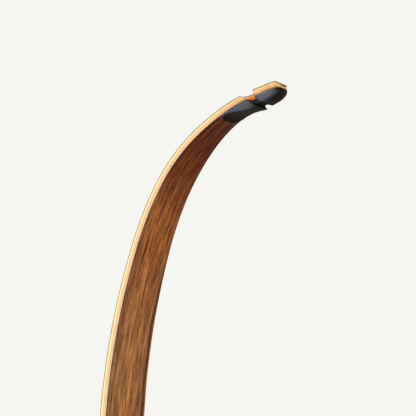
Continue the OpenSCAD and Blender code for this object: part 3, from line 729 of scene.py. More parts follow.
def cut_away(bm, cutter):
    """The bmesh less the cutter; both are used up"""
    stock, tool = shown("stock", mesh_from("stock", bm)), shown("tool", mesh_from("tool", cutter))
    drill = stock.modifiers.new("drill", "BOOLEAN")
    drill.operation = "DIFFERENCE"
    drill.solver = "EXACT"
    drill.object = tool
    result = bmesh.new()
    result.from_object(stock, bpy.context.evaluated_depsgraph_get())
    for ob in (stock, tool):
        mesh = ob.data
        bpy.data.objects.remove(ob)
        bpy.data.meshes.remove(mesh)
    bmesh.ops.dissolve_degenerate(result, edges=result.edges, dist=1e-7)
    if not result.faces:
        raise RuntimeError("a cut left nothing of a piece")
    return result


def piece(node, bm, finishes, body, slot, crease=35):
    """Makes a bmesh the piece that stands for a node: its materials and its body; its slot is not used"""
    name = f"{node}_fine"
    mesh = mesh_from(name, bm)
    for finish in finishes:
        mesh.materials.append(finish)
    for polygon in mesh.polygons:
        polygon.use_smooth = True
    mesh.set_sharp_from_angle(angle=math.radians(crease))
    ob = shown(name, mesh)
    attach(ob, body)
    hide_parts(node)
    return ob


def on_pad(shape, distance, lower):
    """Frame of a fitting on the limb pad: Z runs out of the pad, in metres"""
    lean = shape.limb.pad_angle
    along = Vector((-math.sin(lean), 0, math.cos(lean)))
    out = Vector((math.cos(lean), 0, math.sin(lean)))
    matrix = Matrix((along, out.cross(along), out)).transposed().to_4x4()
    matrix.translation = Vector((shape.pad[0], 0, shape.pad[1])) * MM + along * distance * MM
    if lower:
        flip = Matrix.Translation((0, 0, shape.mirror_z * MM)) @ Matrix.Scale(-1, 4, (0, 0, 1))
        matrix = flip @ matrix @ Matrix.Scale(-1, 4, (0, 1, 0))
    return matrix


# Finishes


def feed(tree, socket, value):
    """Links an input to another socket, or sets its value"""
    if isinstance(value, bpy.types.NodeSocket):
        tree.links.new(value, socket)
    else:
        socket.default_value = value


def add(tree, kind, setup=None, **inputs):
    """Adds a node with its inputs, each given by its name or as _ and its number"""
    made = tree.nodes.new(kind)
    for name, value in (setup or {}).items():
        setattr(made, name, value)
    for name, value in inputs.items():
        feed(tree, made.inputs[int(name[1:]) if name[0] == "_" else name.replace("_", " ")], value)
    return made


def start_finish(name, **shader):
    """A material and its tree, with the plain values set on its shader"""
    material = bpy.data.materials.new(name)
    material.use_nodes = True
    tree = material.node_tree
    for socket, value in shader.items():
        tree.nodes["Principled BSDF"].inputs[socket.replace("_", " ")].default_value = value
    return material, tree


def end_finish(material, colour_out, rough=None, bump=None):
    """Links a finish's colour, roughness and bump, given as height, strength and distance, to its shader"""
    tree = material.node_tree
    shader = tree.nodes["Principled BSDF"]
    feed(tree, shader.inputs["Base Color"], colour_out)
    if rough is not None:
        feed(tree, shader.inputs["Roughness"], rough)
    if bump is not None:
        height, strength, distance = bump
        raised = add(tree, "ShaderNodeBump", Height=height, Strength=strength, Distance=distance)
        feed(tree, shader.inputs["Normal"], raised.outputs["Normal"])
    return material


def grain(tree, vector, scale, detail, rough=0.55, warp=0.0, shift=(0, 0, 0)):
    """A noise pattern with a scale for each axis, in marks a metre, and a shift of its own"""
    place = add(tree, "ShaderNodeMapping", Vector=vector, Scale=scale, Location=shift).outputs["Vector"]
    made = add(tree, "ShaderNodeTexNoise", Vector=place, Scale=1.0, Detail=detail, Roughness=rough, Distortion=warp)
    return made.outputs["Fac"]


def ramp(tree, factor, *stops):
    """A ramp of greys or colours from stops of place and value"""
    made = add(tree, "ShaderNodeValToRGB", Fac=factor)
    elements = made.color_ramp.elements
    while len(elements) < len(stops):
        elements.new(0.5)
    for element, (place, value) in zip(elements, stops):
        element.position = place
        element.color = (*value, 1) if isinstance(value, tuple) else (value, value, value, 1)
    return made.outputs["Color"]


def tone(value, factor):
    return tuple(clip(v * factor, 0, 1) for v in value)


def tones(tree, factor, value, *stops):
    """A ramp of lighter and darker tones of one colour from stops of place and strength"""
    return ramp(tree, factor, *((place, tone(value, strength)) for place, strength in stops))


def blend(tree, factor, a, b, mode="MIX"):
    """Mixes two colours, each a value or a socket"""
    made = add(tree, "ShaderNodeMix", {"data_type": "RGBA", "blend_type": mode}, _0=factor)
    for index, value in ((6, a), (7, b)):
        feed(tree, made.inputs[index], (*value, 1) if isinstance(value, tuple) else value)
    return made.outputs[2]


def tinted(tree, factor, a, b):
    return blend(tree, factor, a, b, "MULTIPLY")


def maths(tree, operation, a, b=0.0):
    return add(tree, "ShaderNodeMath", {"operation": operation}, _0=a, _1=b).outputs["Value"]


def eased(tree, value, low, high, **ends):
    """A smooth step from low to high"""
    return add(tree, "ShaderNodeMapRange", {"interpolation_type": "SMOOTHSTEP"}, Value=value, _1=low, _2=high,
               **ends).outputs["Result"]


def lay_of(tree):
    """Straight coordinates along, across and through a limb's laminations"""
    return add(tree, "ShaderNodeAttribute", {"attribute_name": "lay"}).outputs["Vector"]


def filed_of(tree):
    """How deep the file went into the edges at the string groove; on the overlays, the share of painted sheen"""
    return add(tree, "ShaderNodeAttribute", {"attribute_name": "filed"}).outputs["Fac"]


def place_of(tree):
    return add(tree, "ShaderNodeTexCoord").outputs["Object"]


def face_veneer_finish(name, paint, half_w):
    """Streaky brown veneer seen through a clear polished facing"""
    material, tree = start_finish(name, Coat_Weight=0.06, Coat_Roughness=0.05, Specular_IOR_Level=0.05)
    lay, wood = lay_of(tree), paint.face_wood
    figure = grain(tree, lay, (16, 190, 60), 3, 0.5, 0.5)
    streaks = grain(tree, lay, (36, 560, 300), 5, 0.66, 0.3, (3.1, 0.7, 0))
    flecks = grain(tree, lay, (95, 900, 500), 3, 0.6, 0.2, (1.9, 2.3, 0))
    pores = grain(tree, lay, (130, 3800, 900), 2, 0.5, shift=(0, 5.3, 0))
    hue = grain(tree, lay, (45, 330, 90), 3, shift=(7.7, 1.1, 0))
    base = ramp(tree, figure, (0.34, tone(wood, 0.62)), (0.5, wood), (0.66, paint.face_light))
    line = ramp(tree, streaks, (0.36, paint.face_dark), (0.46, tone(wood, 0.75)), (0.55, tone(wood, 1.1)),
                (0.66, paint.face_light))
    colour_out = blend(tree, 0.62, base, line)
    colour_out = tinted(tree, 0.72, colour_out, ramp(tree, flecks, (0.34, 0.16), (0.47, 1.0)))
    colour_out = tinted(tree, 0.5, colour_out, ramp(tree, pores, (0.36, 0.3), (0.46, 1.0)))
    hues = ramp(tree, hue, (0.34, (1.0, 0.78, 0.66)), (0.5, (1.0, 1.0, 1.0)), (0.64, (1.14, 1.14, 0.94)))
    colour_out = tinted(tree, 0.85, colour_out, hues)
    parts = add(tree, "ShaderNodeSeparateXYZ", Vector=lay)
    # Heartwood bands that wander a little from side to side along the limb
    wander = maths(tree, "SUBTRACT", grain(tree, lay, (14, 0, 0), 2), 0.5)
    across = maths(tree, "ADD", maths(tree, "MULTIPLY", parts.outputs["Y"], 0.5 / (half_w * MM)), 0.5)
    across = maths(tree, "ADD", across, maths(tree, "MULTIPLY", wander, 0.14))
    bands = ramp(tree, across, (0.03, (0.66, 0.69, 0.88)), (0.2, (0.93, 0.93, 1.0)), (0.45, (1.2, 1.17, 1.12)),
                 (0.66, (1.05, 1.01, 1.0)), (0.84, (0.86, 0.80, 0.86)), (0.875, (0.30, 0.25, 0.36)),
                 (0.915, (0.34, 0.26, 0.32)), (0.94, (1.3, 1.05, 0.70)))
    colour_out = tinted(tree, 1.0, colour_out, bands)
    # Painted shade: towards the tip the face is painted darker and redder, standing in for the shade on the hook, whose
    # face turns down, away from the lamps; its streaks grow bolder there too
    along = add(tree, "ShaderNodeMapRange", Value=parts.outputs["X"], _1=0.40, _2=0.58).outputs["Result"]
    deep = ramp(tree, along, (0.0, (0.93, 0.90, 0.96)), (0.3, (0.86, 0.66, 0.57)), (0.41, (0.94, 0.73, 0.58)),
                (0.5, (0.65, 0.46, 0.40)), (0.6, (0.45, 0.24, 0.15)), (0.73, (0.25, 0.10, 0.054)),
                (0.82, (0.205, 0.083, 0.045)), (1.0, (0.29, 0.125, 0.080)))
    colour_out = tinted(tree, 1.0, colour_out, deep)
    bolder = ramp(tree, streaks, (0.38, 0.42), (0.5, 0.95), (0.62, 1.75))
    colour_out = tinted(tree, maths(tree, "MULTIPLY", along, 0.45), colour_out, bolder)
    return end_finish(material, colour_out, ramp(tree, streaks, (0.2, 0.30), (0.8, 0.44)), (pores, 0.08, 0.0001))


def deepened(tree, colour_out, deep=(0.94, 0.68, 0.42), cut=(0.92, 0.60, 0.26)):
    """Deepens an edge's colour towards the tip, and where the string groove is filed into it"""
    along = add(tree, "ShaderNodeSeparateXYZ", Vector=lay_of(tree)).outputs["X"]
    near_tip = eased(tree, along, 0.53, 0.61, _4=0.85)
    colour_out = blend(tree, near_tip, colour_out, tinted(tree, 1.0, colour_out, deep))
    return blend(tree, filed_of(tree), colour_out, tinted(tree, 1.0, colour_out, cut))


def core_finish(name, value):
    """Maple lamination, its fine grain running along the limb, under lacquer"""
    material, tree = start_finish(name, Coat_Weight=0.08, Coat_Roughness=0.10, Specular_IOR_Level=0.12)
    lay = lay_of(tree)
    broad = grain(tree, lay, (9, 260, 420), 3, 0.5, 0.3, (1.7, 0, 0))
    fine = grain(tree, lay, (60, 1500, 3400), 3, 0.6)
    fleck = grain(tree, lay, (380, 900, 2200), 2, 0.5, shift=(0, 2.2, 0))
    base = tones(tree, broad, value, (0.30, 0.80), (0.5, 1), (0.75, 1.06))
    colour_out = blend(tree, 0.45, base, tones(tree, fine, value, (0.30, 0.74), (0.48, 1), (1.0, 1)))
    colour_out = tinted(tree, 0.22, colour_out, ramp(tree, fleck, (0.38, (0.72, 0.50, 0.34)), (0.50, 1.0)))
    # The glue line between the two cores, at the middle of the stack
    height = maths(tree, "ABSOLUTE", add(tree, "ShaderNodeSeparateXYZ", Vector=lay).outputs["Z"])
    glue = ramp(tree, maths(tree, "MULTIPLY", height, 1 / MM), (0.12, (0.88, 0.62, 0.42)), (0.38, 1.0))
    colour_out = deepened(tree, tinted(tree, 0.8, colour_out, glue))
    return end_finish(material, colour_out, ramp(tree, fine, (0.2, 0.30), (0.8, 0.42)), (fine, 0.06, 0.0001))


def veneer_edge_finish(name, value):
    """Sawn edge of a dark veneer"""
    material, tree = start_finish(name, Coat_Weight=0.06, Coat_Roughness=0.10, Specular_IOR_Level=0.08)
    fine = grain(tree, lay_of(tree), (45, 900, 3000), 3, 0.6)
    sawn = deepened(tree, tones(tree, fine, value, (0.3, 0.6), (0.7, 1.25)), (0.34, 0.26, 0.20))
    return end_finish(material, sawn, ramp(tree, fine, (0.2, 0.34), (0.8, 0.48)))


def facing_edge_finish(name, value):
    """Polished edge of a clear facing, its fibres running along the limb"""
    material, tree = start_finish(name, Coat_Weight=0.12, Coat_Roughness=0.12, Specular_IOR_Level=0.2)
    fibres = grain(tree, lay_of(tree), (30, 2600, 5200), 3, 0.6)
    polished = deepened(tree, tones(tree, fibres, value, (0.30, 0.72), (0.65, 1.15)), (0.60, 0.45, 0.38))
    return end_finish(material, polished, ramp(tree, fibres, (0.2, 0.18), (0.8, 0.32)))


def overlay_finish(name, back, shoulder):
    """Black overlay: its back buffed black, and on its filed shoulders a painted sheen, a blue-grey with marks along
    the limb that stands in for the reflection of the floor and the lamps
    """
    material, tree = start_finish(name, Coat_Weight=0.03, Coat_Roughness=0.10, Specular_IOR_Level=0.01)
    lay = lay_of(tree)
    marks = grain(tree, lay, (70, 2600, 1400), 4, 0.65)
    cloud = grain(tree, lay, (60, 160, 160), 2, 0.5, shift=(0.4, 0, 0))
    buffed = tones(tree, marks, back, (0.25, 0.7), (0.6, 1), (0.85, 1.6))
    brushed = blend(tree, 0.4, tones(tree, marks, shoulder, (0.30, 0.5), (0.5, 1), (0.72, 1.9)),
                    tones(tree, cloud, shoulder, (0.3, 0.7), (0.7, 1.4)))
    # Painted sheen: the blue-grey goes on by the share of sheen that each point of the overlay carries
    colour_out = blend(tree, filed_of(tree), buffed, brushed)
    return end_finish(material, colour_out, ramp(tree, marks, (0.2, 0.26), (0.8, 0.48)), (marks, 0.14, 0.0001))


def riser_wood_finish(name, main, dark, shift):
    """Figured riser wood under satin oil, its grain along the riser"""
    material, tree = start_finish(name, Coat_Weight=0.10, Coat_Roughness=0.16, Specular_IOR_Level=0.15)
    place = place_of(tree)
    sway = grain(tree, place, (14, 14, 7), 2, 0.5, shift=shift)
    nudge = add(tree, "ShaderNodeCombineXYZ", X=maths(tree, "MULTIPLY", sway, 0.028),
                Y=maths(tree, "MULTIPLY", sway, 0.014)).outputs["Vector"]
    swayed = add(tree, "ShaderNodeVectorMath", {"operation": "ADD"}, _0=place, _1=nudge).outputs["Vector"]
    rings = grain(tree, swayed, (170, 60, 2.6), 4, 0.55, 0.4, shift)
    streaks = grain(tree, swayed, (420, 260, 7), 4, 0.62, shift=shift)
    pores = grain(tree, swayed, (1900, 1900, 75), 2, 0.5, shift=shift)
    base = ramp(tree, rings, (0.34, dark), (0.45, tone(main, 0.8)), (0.55, main), (0.70, tone(main, 1.55)))
    colour_out = blend(tree, 0.42, base, ramp(tree, streaks, (0.33, dark), (0.52, main), (0.72, tone(main, 1.7))))
    colour_out = tinted(tree, 0.6, colour_out, ramp(tree, pores, (0.35, 0.3), (0.45, 1.0)))
    return end_finish(material, colour_out, ramp(tree, pores, (0.3, 0.58), (0.6, 0.36)), (pores, 0.16, 0.00012))


def metal_finish(name, value, roughness, stain):
    """Turned metal with fine tool marks and faint staining"""
    material, tree = start_finish(name, Metallic=1.0)
    place = place_of(tree)
    marks = grain(tree, place, (2600, 2600, 2600), 3, 0.6)
    cloud = grain(tree, place, (130, 130, 130), 3)
    rough = blend(tree, 0.5, ramp(tree, marks, (0.3, roughness * 0.7), (0.7, roughness * 1.3)),
                  ramp(tree, cloud, (0.3, roughness * 1.4), (0.7, roughness * 0.8)))
    colour_out = tones(tree, cloud, value, (0.30, stain), (0.60, 1), (0.85, 1.12))
    return end_finish(material, colour_out, rough, (marks, 0.10, 0.00005))


def leather_finish(name, value):
    """Suede leather with a short nap"""
    material, tree = start_finish(name, Sheen_Weight=0.12, Sheen_Roughness=0.5, Specular_IOR_Level=0.1)
    place = place_of(tree)
    nap = grain(tree, place, (1600, 1600, 1600), 4, 0.7)
    cells = add(tree, "ShaderNodeTexVoronoi", {"feature": "DISTANCE_TO_EDGE"}, Vector=place, Scale=900.0)
    worn = grain(tree, place, (90, 90, 90), 2, 0.5)
    colour_out = blend(tree, 0.4, tones(tree, nap, value, (0.3, 0.55), (0.7, 1.5)),
                       tones(tree, worn, value, (0.35, 0.7), (0.7, 2.0)))
    height = maths(tree, "ADD", nap, maths(tree, "MULTIPLY", cells.outputs["Distance"], 1.2))
    return end_finish(material, colour_out, ramp(tree, nap, (0.2, 0.8), (0.8, 0.96)), (height, 0.5, 0.0002))


# Limbs


LIMBS = ("upper", "lower")
# Surfaces of the stack below and above each lamination
STACK = {
    "belly_glass": (0, 1), "belly_veneer": (1, 2), "belly_core": (2, 3), "butt_wedge": (3, 4), "back_core": (4, 5),
    "back_veneer": (5, 6), "back_glass": (6, 7),
}
FILED_DEEP = 1.5  # depth of the groove at which an edge takes its full filed colour
LEAST_HALF_W = 0.6  # least half width of a lamination
CORNER_SHARE = 0.7  # most that a sanded corner takes of a facing's thickness
WEDGE_TIP = 6  # how far before the end of its taper the wedge fades out
BOLT_PLAY, PIN_PLAY, PIN_ROOM = 0.35, 0.08, 0.5  # clearance round the bolt, round the pins and over them
EDGE_FACING, CORNER_FACING = 0.35, 0.65  # a facing's edge finish ends where its surface turns to face as far as this


def lath(shape, low, high, columns, round_low=False, round_high=False):
    """A straight lamination in lath space, tapered in width and thickness, with the string groove in its edges"""
    # Share of the thickness, then inset and lift as shares of the sanded corner's radius
    half = [(0, 1 - math.sin(a), 1 - math.cos(a)) for a in quarter(4)] if round_low else [(0, 0, 0)]
    if not (round_low or round_high):
        half.append((0.5, 0, 0))
    half += [(1, 1 - math.cos(a), math.sin(a) - 1) for a in quarter(4)] if round_high else [(1, 0, 0)]

    def point(column, step, side):
        rise, inset, lift = step
        s, cut = shape.station(column, mix(shape.level(low, 0), shape.level(high, 0), rise))
        # The groove is slanted, so a point's station and its height are settled in turn
        for again in range(2):
            below, above = shape.level(low, s), shape.level(high, s)
            corner = min(shape.limb.corner, CORNER_SHARE * (above - below))
            n = mix(below, above, rise) + lift * corner
            s, cut = shape.station(column, n)
        y = max(LEAST_HALF_W, shape.half_width(s, side) - cut - inset * corner)
        return Vector((s, side * y + shape.lean(s), n)) * MM, clip(cut / FILED_DEEP, 0, 1)

    return limb_loft(columns, half, point)


def limb_drill(shape):
    """Bolt hole and pin sockets, in lath space"""
    f, belly, through = read(bpy.context.scene.bow_fittings), -shape.half_t, 1
    return join(*(
        moved(cylinder(radius, belly - through, belly + high), Matrix.Translation((at * MM, 0, 0)))
        for at, radius, high in (
            (f.bolt_at, f.bolt_r + BOLT_PLAY, shape.butt_t + through),
            (f.pin_low, f.pin_r + PIN_PLAY, f.pin_out + PIN_ROOM),
            (f.pin_high, f.pin_r + PIN_PLAY, f.pin_out + PIN_ROOM),
        )
    ))


def limb_part(shape, end, name, bm, finishes, slot, crease):
    """Makes a part worked in lath space a piece of its limb, bent to the limb's line"""
    ob = piece(f"{end}_{name}", bm, finishes, f"{end}_limb", slot, 180)
    shape.bend(ob.data, end == "lower")
    ob.data.set_sharp_from_angle(angle=math.radians(crease))


def lamination(shape, end, layer, finishes, slot):
    """Builds one layer of a limb, with the second finish, if there is one, on its edges"""
    columns = shape.columns(shape.limb.wedge_len - WEDGE_TIP if layer == "butt_wedge" else None)
    stock = lath(shape, *STACK[layer], columns, layer == "belly_glass", layer == "back_glass")
    bm = cut_away(stock, limb_drill(shape))
    if len(finishes) > 1:
        bm.normal_update()
        for face in bm.faces:
            end_on, sideways, flat = (abs(v) for v in face.normal)
            if flat < EDGE_FACING or (flat < CORNER_FACING and sideways > end_on):
                face.material_index = 1
    limb_part(shape, end, layer, bm, finishes, slot, 38)


class BOW_OT_limb_cores(bpy.types.Operator):
    """Builds the maple cores and the butt wedge of both limbs"""

    bl_idname = "bow.limb_cores"
    bl_label = "Limb cores"

    def execute(self, context):
        shape, paint = LimbShape(), read(context.scene.bow_colours)
        pale = core_finish("pale maple", paint.maple)
        rosy = core_finish("rosy maple", paint.rosy_maple)
        wedge = core_finish("wedge wood", tone(paint.walnut, 1.5))
        for end in LIMBS:
            lamination(shape, end, "belly_core", [pale], "maple")
            lamination(shape, end, "back_core", [rosy], "golden_maple")
            lamination(shape, end, "butt_wedge", [wedge], "walnut")
        return {"FINISHED"}


class BOW_OT_limb_facings(bpy.types.Operator):
    """Builds the veneers and the clear facings of both limbs"""

    bl_idname = "bow.limb_facings"
    bl_label = "Limb facings"

    def execute(self, context):
        shape, paint = LimbShape(), read(context.scene.bow_colours)
        face = face_veneer_finish("faced brown veneer", paint, shape.limb.half_w_mid)
        belly = facing_edge_finish("belly facing edge", paint.belly_line)
        # The back facing's pale edge is partly its own colour and partly a painted highlight on the sanded corner
        back = facing_edge_finish("back facing edge", paint.back_line)
        sawn = veneer_edge_finish("veneer edge", tone(paint.face_wood, 1.3))
        for end in LIMBS:
            lamination(shape, end, "belly_veneer", [sawn], "brown_veneer")
            lamination(shape, end, "back_veneer", [sawn], "brown_veneer")
            lamination(shape, end, "belly_glass", [face, belly], "clear_facing")
            lamination(shape, end, "back_glass", [face, back], "clear_facing")
        return {"FINISHED"}


class BOW_OT_tip_overlays(bpy.types.Operator):
    """Builds the black tip overlays, filed for the string"""

    bl_idname = "bow.tip_overlays"
    bl_label = "Tip overlays"

    ROUND_FROM, ROUND_OVER = 16, 14  # how far below the groove the shoulder starts to round, and over what length
    WALL, ROUND_WALL = 0.12, 0.1  # share of the thickness that stands as a wall: beside a flat, under a round shoulder
    FULLNESS = 0.6  # power of the round shoulder: the lower, the fuller
    BACK_IN = 0.15  # how far the points of the back lie in from the shoulder's edge
    FLAT_REACH, ROUND_REACH = 0.85, 0.93  # most that a shoulder takes of the half width: flat, and on the bulb
    REACH_GROWS = 4  # length past the groove over which it grows from the one to the other
    LIMB_SATIN, RIGHT_SATIN = 0.84, 0.08  # strength of the painted sheen on the shoulders: below the groove, and on the bulb's right, which faces away from the lamps
    BULB_FADE = 7  # length over which the painted sheen on the bulb's left shoulder fades out towards the end
    BUFFED, BUFFED_BELOW, BUFFED_ABOVE = 0.85, 1.5, 0.9  # how strongly the sheen is left off round the groove as painted shade, and its reach in widths below and above it
    RUBBED, RUBBED_HALF_W, RUBBED_AT = 0.7, 1.3, 0.35  # painted highlight at the bottom of the groove: strength, half width, middle on the shoulder

    def overlay(self, shape):
        """Wall, filed shoulder and back, the shoulder flat at first and rounder from the groove on"""
        tip = shape.tip
        foot, middle = -1, 2  # steps of a half ring beside those of the shoulder, which run from 0 to 1

        def point(column, v, side):
            along = clip(v, 0, 1)
            s, cut = shape.station(column, shape.half_t)
            for again in range(2):
                d, h = shape.length - s, shape.overlay_h(s)
                rounded = ease((tip.groove_at + self.ROUND_FROM - d) / self.ROUND_OVER)
                swing = mix(self.ROUND_WALL, 1, along) * math.pi / 2
                up, inward = 0, 0
                if v > foot:
                    up = mix(mix(self.WALL, 1, along), math.sin(swing) ** self.FULLNESS, rounded)
                    inward = mix(along, 1 - max(0.0, math.cos(swing)) ** self.FULLNESS, rounded)
                s, cut = shape.station(column, shape.level(7, s) + h * up)
            tongue = squared_bulge((s - shape.overlay_from) / tip.overlay_round)
            wide = (shape.half_width(s, side) - cut) * tongue
            flat_reach = min(tip.shoulder_slope * h + 0.1, wide * self.FLAT_REACH)
            reach = mix(flat_reach, wide * self.ROUND_REACH, ease((tip.groove_at - d) / self.REACH_GROWS))
            y = max(wide - reach * inward - (self.BACK_IN if v == middle else 0), 0.02)
            place = Vector((s, side * y + shape.lean(s), shape.level(7, s) + h * up)) * MM
            # The second value is the point's share of painted sheen
            return place, satin(d, v, side, cut, rounded)

        def satin(d, v, side, cut, rounded):
            """Share of painted sheen at a point: a blue-grey standing in for the reflection of the floor and the lamps
            on the shoulders
            """
            off_groove, below = abs(d - tip.groove_at), d > tip.groove_at
            left = 0.0 if v == middle else mix(1, 1 - ease((v - 0.5) / 0.5), rounded)
            # On the bulb the painted sheen goes only on the left shoulder, which faces the lamps, and it fades towards
            # the end
            left *= self.LIMB_SATIN if below else self.RIGHT_SATIN if side > 0 else ease(d / self.BULB_FADE)
            # Painted shade: round the groove, where the shoulder rounds away from the light, the sheen is left off,
            # further down the limb than towards the bulb
            buffed = (self.BUFFED_BELOW if below else self.BUFFED_ABOVE) - off_groove / tip.groove_w_back
            left *= 1 - self.BUFFED * clip(4 * cut + buffed, 0, 1)
            # A painted highlight: a small sheen at the bottom of the groove, standing in for a reflection there
            mark = clip(1 - off_groove / self.RUBBED_HALF_W, 0, 1)
            return max(left, self.RUBBED * mark * clip(1 - abs(v - self.RUBBED_AT) / self.RUBBED_AT, 0, 1))

        return limb_loft(shape.overlay_columns(), [foot] + [i / 10 for i in range(11)] + [middle], point)

    def execute(self, context):
        shape, paint = LimbShape(), read(context.scene.bow_colours)
        black = overlay_finish("polished black overlay", paint.overlay, paint.overlay_filed)
        for end in LIMBS:
            limb_part(shape, end, "tip_overlay", self.overlay(shape), [black], "black_overlay", 26)
        return {"FINISHED"}


# Riser


OPEN_END, PAD_END = 4, 1  # how far a drill reaches out of the riser's sides, and out of a limb pad


def bushing_places(riser, fit):
    """Frames of the stabiliser, plunger and sight bushings: Z runs out of the wood, from its surface"""
    drop, shelf = -fit.stabiliser_drop, riser.r.shelf_h
    plunger_z, sight_z = shelf + fit.plunger_h, shelf + fit.sight_h
    sight_face = -riser.half(sight_z + fit.sight_pitch / 2, fit.sight_front)
    spots = {
        "stabiliser": ("Y", riser.front(drop), 0, drop),
        "plunger": ("X", fit.plunger_front, -riser.half(plunger_z, fit.plunger_front), plunger_z),
        "sight_low": ("X", fit.sight_front, sight_face, sight_z),
        "sight_high": ("X", fit.sight_front, sight_face, sight_z + fit.sight_pitch),
    }
    return {name: Matrix.Translation(Vector(place) * MM) @ Matrix.Rotation(math.pi / 2, 4, axis)
            for name, (axis, *place) in spots.items()}


def riser_drill(riser, limb, fit):
    """Holes for the bushings, the limb bolts' inserts and the locating pins"""
    through = riser.r.window_half_w * 3
    spots = bushing_places(riser, fit)
    holes = [(spots["stabiliser"], fit.stabiliser_r, fit.stabiliser_len, OPEN_END),
             (spots["plunger"], fit.plunger_r, through, OPEN_END),
             (spots["sight_low"], fit.sight_r, fit.sight_len, OPEN_END),
             (spots["sight_high"], fit.sight_r, fit.sight_len, OPEN_END)]
    for lower in (False, True):
        holes += [(on_pad(limb, at, lower), radius, deep, PAD_END) for at, radius, deep in (
            (fit.bolt_at, fit.insert_r, fit.insert_len), (fit.pin_low, fit.pin_r, fit.pin_in),
            (fit.pin_high, fit.pin_r, fit.pin_in))]
    return join(*(moved(cylinder(radius, -deep, out), spot) for spot, radius, deep, out in holes))


class BOW_OT_riser(bpy.types.Operator):
    """Builds the riser's two walnut blocks and the three strips between them"""

    bl_idname = "bow.riser"
    bl_label = "Riser"

    BELLY, BACK = 0, 4  # layers of the riser that are rounded blocks, not strips

    def layer(self, riser, k):
        """One layer of the riser, its points closest where the section curves most"""
        if k == self.BELLY:
            spread = [1 - math.cos(i / 12 * math.pi / 2) for i in range(13)]
        elif k == self.BACK:
            spread = [math.sin(i / 12 * math.pi / 2) for i in range(13)]
        else:
            spread = [0, 0.5, 1]
        rings = []
        for z in riser.heights():
            row = [mix(riser.split(k, z), riser.split(k + 1, z), t) for t in spread]
            ring = [Vector((x, -riser.half(z, x), z)) * MM for x in row]
            rings.append(ring + [Vector((x, riser.left(z, x), z)) * MM for x in reversed(row)])
        return loft(rings)

    def execute(self, context):
        riser, limb, fit = RiserShape(), LimbShape(), read(context.scene.bow_fittings)
        paint = read(context.scene.bow_colours)
        belly = riser_wood_finish("riser walnut, belly", paint.walnut, paint.walnut_dark, (0, 0, 0))
        back = riser_wood_finish("riser walnut, back", paint.walnut, paint.walnut_dark, (4.2, 1.3, 2.6))
        pale = riser_wood_finish("riser maple strip", paint.strip_pale, tone(paint.strip_pale, 0.62), (1.1, 7.0, 0.3))
        dark = riser_wood_finish("riser dark strip", paint.strip_dark, tone(paint.strip_dark, 0.4), (8.0, 2.0, 5.0))
        for k, (node, wood, slot) in enumerate((
            ("riser_belly_block", belly, "walnut"), ("riser_pale_strip_belly", pale, "maple"),
            ("riser_dark_strip", dark, "dark_hardwood"), ("riser_pale_strip_back", pale, "maple"),
            ("riser_back_block", back, "walnut"),
        )):
            piece(node, cut_away(self.layer(riser, k), riser_drill(riser, limb, fit)), [wood], "riser", slot, 30)
        return {"FINISHED"}


# Fittings


BUSHING_EASED = 0.15
THREAD_FOOT, THREAD_MOUTH = 0.8, 1.4  # how far inside a bushing's two ends its thread runs
THREAD_PLAY = 0.05  # between a limb bolt's thread and its insert's


def bushing(outer, bore, low, high, pitch):
    """A threaded bushing: flange side up, its mouth countersunk, its thread a real ridge"""
    body = turned(tube_profile(outer, bore, low, high, BUSHING_EASED, pitch * 0.5))
    return join(body, thread(bore, pitch, low + THREAD_FOOT, high - THREAD_MOUTH, inward=True))


class BOW_OT_bushings(bpy.types.Operator):
    """Builds the brass bushings for the stabiliser, the plunger and the sight"""

    bl_idname = "bow.bushings"
    bl_label = "Bushings"

    def execute(self, context):
        riser, fit = RiserShape(), read(context.scene.bow_fittings)
        brass = metal_finish("turned brass", read(context.scene.bow_colours).brass, 0.24, 0.72)
        places = bushing_places(riser, fit)
        wall_t = riser.half(riser.r.shelf_h + fit.plunger_h, fit.plunger_front) - riser.r.past_centre
        for node, outer, bore, deep, spots in (
            ("stabiliser_bushing", fit.stabiliser_r, fit.accessory_r, fit.stabiliser_len, ["stabiliser"]),
            ("plunger_bushing", fit.plunger_r, fit.accessory_r, wall_t, ["plunger"]),
            ("sight_bushings", fit.sight_r, fit.sight_thread_r, fit.sight_len, ["sight_low", "sight_high"]),
        ):
            made = [moved(bushing(outer, bore, -deep, fit.bushing_proud, fit.fine_pitch), places[spot])
                    for spot in spots]
            piece(node, join(*made), [brass], "riser", "brass")
        return {"FINISHED"}


class BOW_OT_limb_seats(bpy.types.Operator):
    """Builds the threaded inserts and the locating pins in the limb pads"""

    bl_idname = "bow.limb_seats"
    bl_label = "Limb seats"

    def pin(self, fit):
        """A locating pin with a rounded tip"""
        r, foot, dome, chamfer = fit.pin_r, -fit.pin_in, 1.2, 0.4
        tip = [(r - dome + dome * math.cos(a), fit.pin_out - dome + dome * math.sin(a)) for a in quarter(6)]
        return turned([(0, foot), (r - chamfer, foot), (r, chamfer + foot)] + tip + [(0, fit.pin_out)], 48)

    def execute(self, context):
        limb, fit = LimbShape(), read(context.scene.bow_fittings)
        brass = metal_finish("insert brass", read(context.scene.bow_colours).brass, 0.28, 0.66)
        for end in LIMBS:
            lower = end == "lower"
            insert = bushing(fit.insert_r, fit.bolt_r + THREAD_PLAY, -fit.insert_len, 0, fit.coarse_pitch)
            piece(f"{end}_limb_insert", moved(insert, on_pad(limb, fit.bolt_at, lower)), [brass], "riser", "brass")
            pins = [moved(self.pin(fit), on_pad(limb, at, lower)) for at in (fit.pin_low, fit.pin_high)]
            piece(f"{end}_locating_pins", join(*pins), [brass], "riser", "brass")
        return {"FINISHED"}


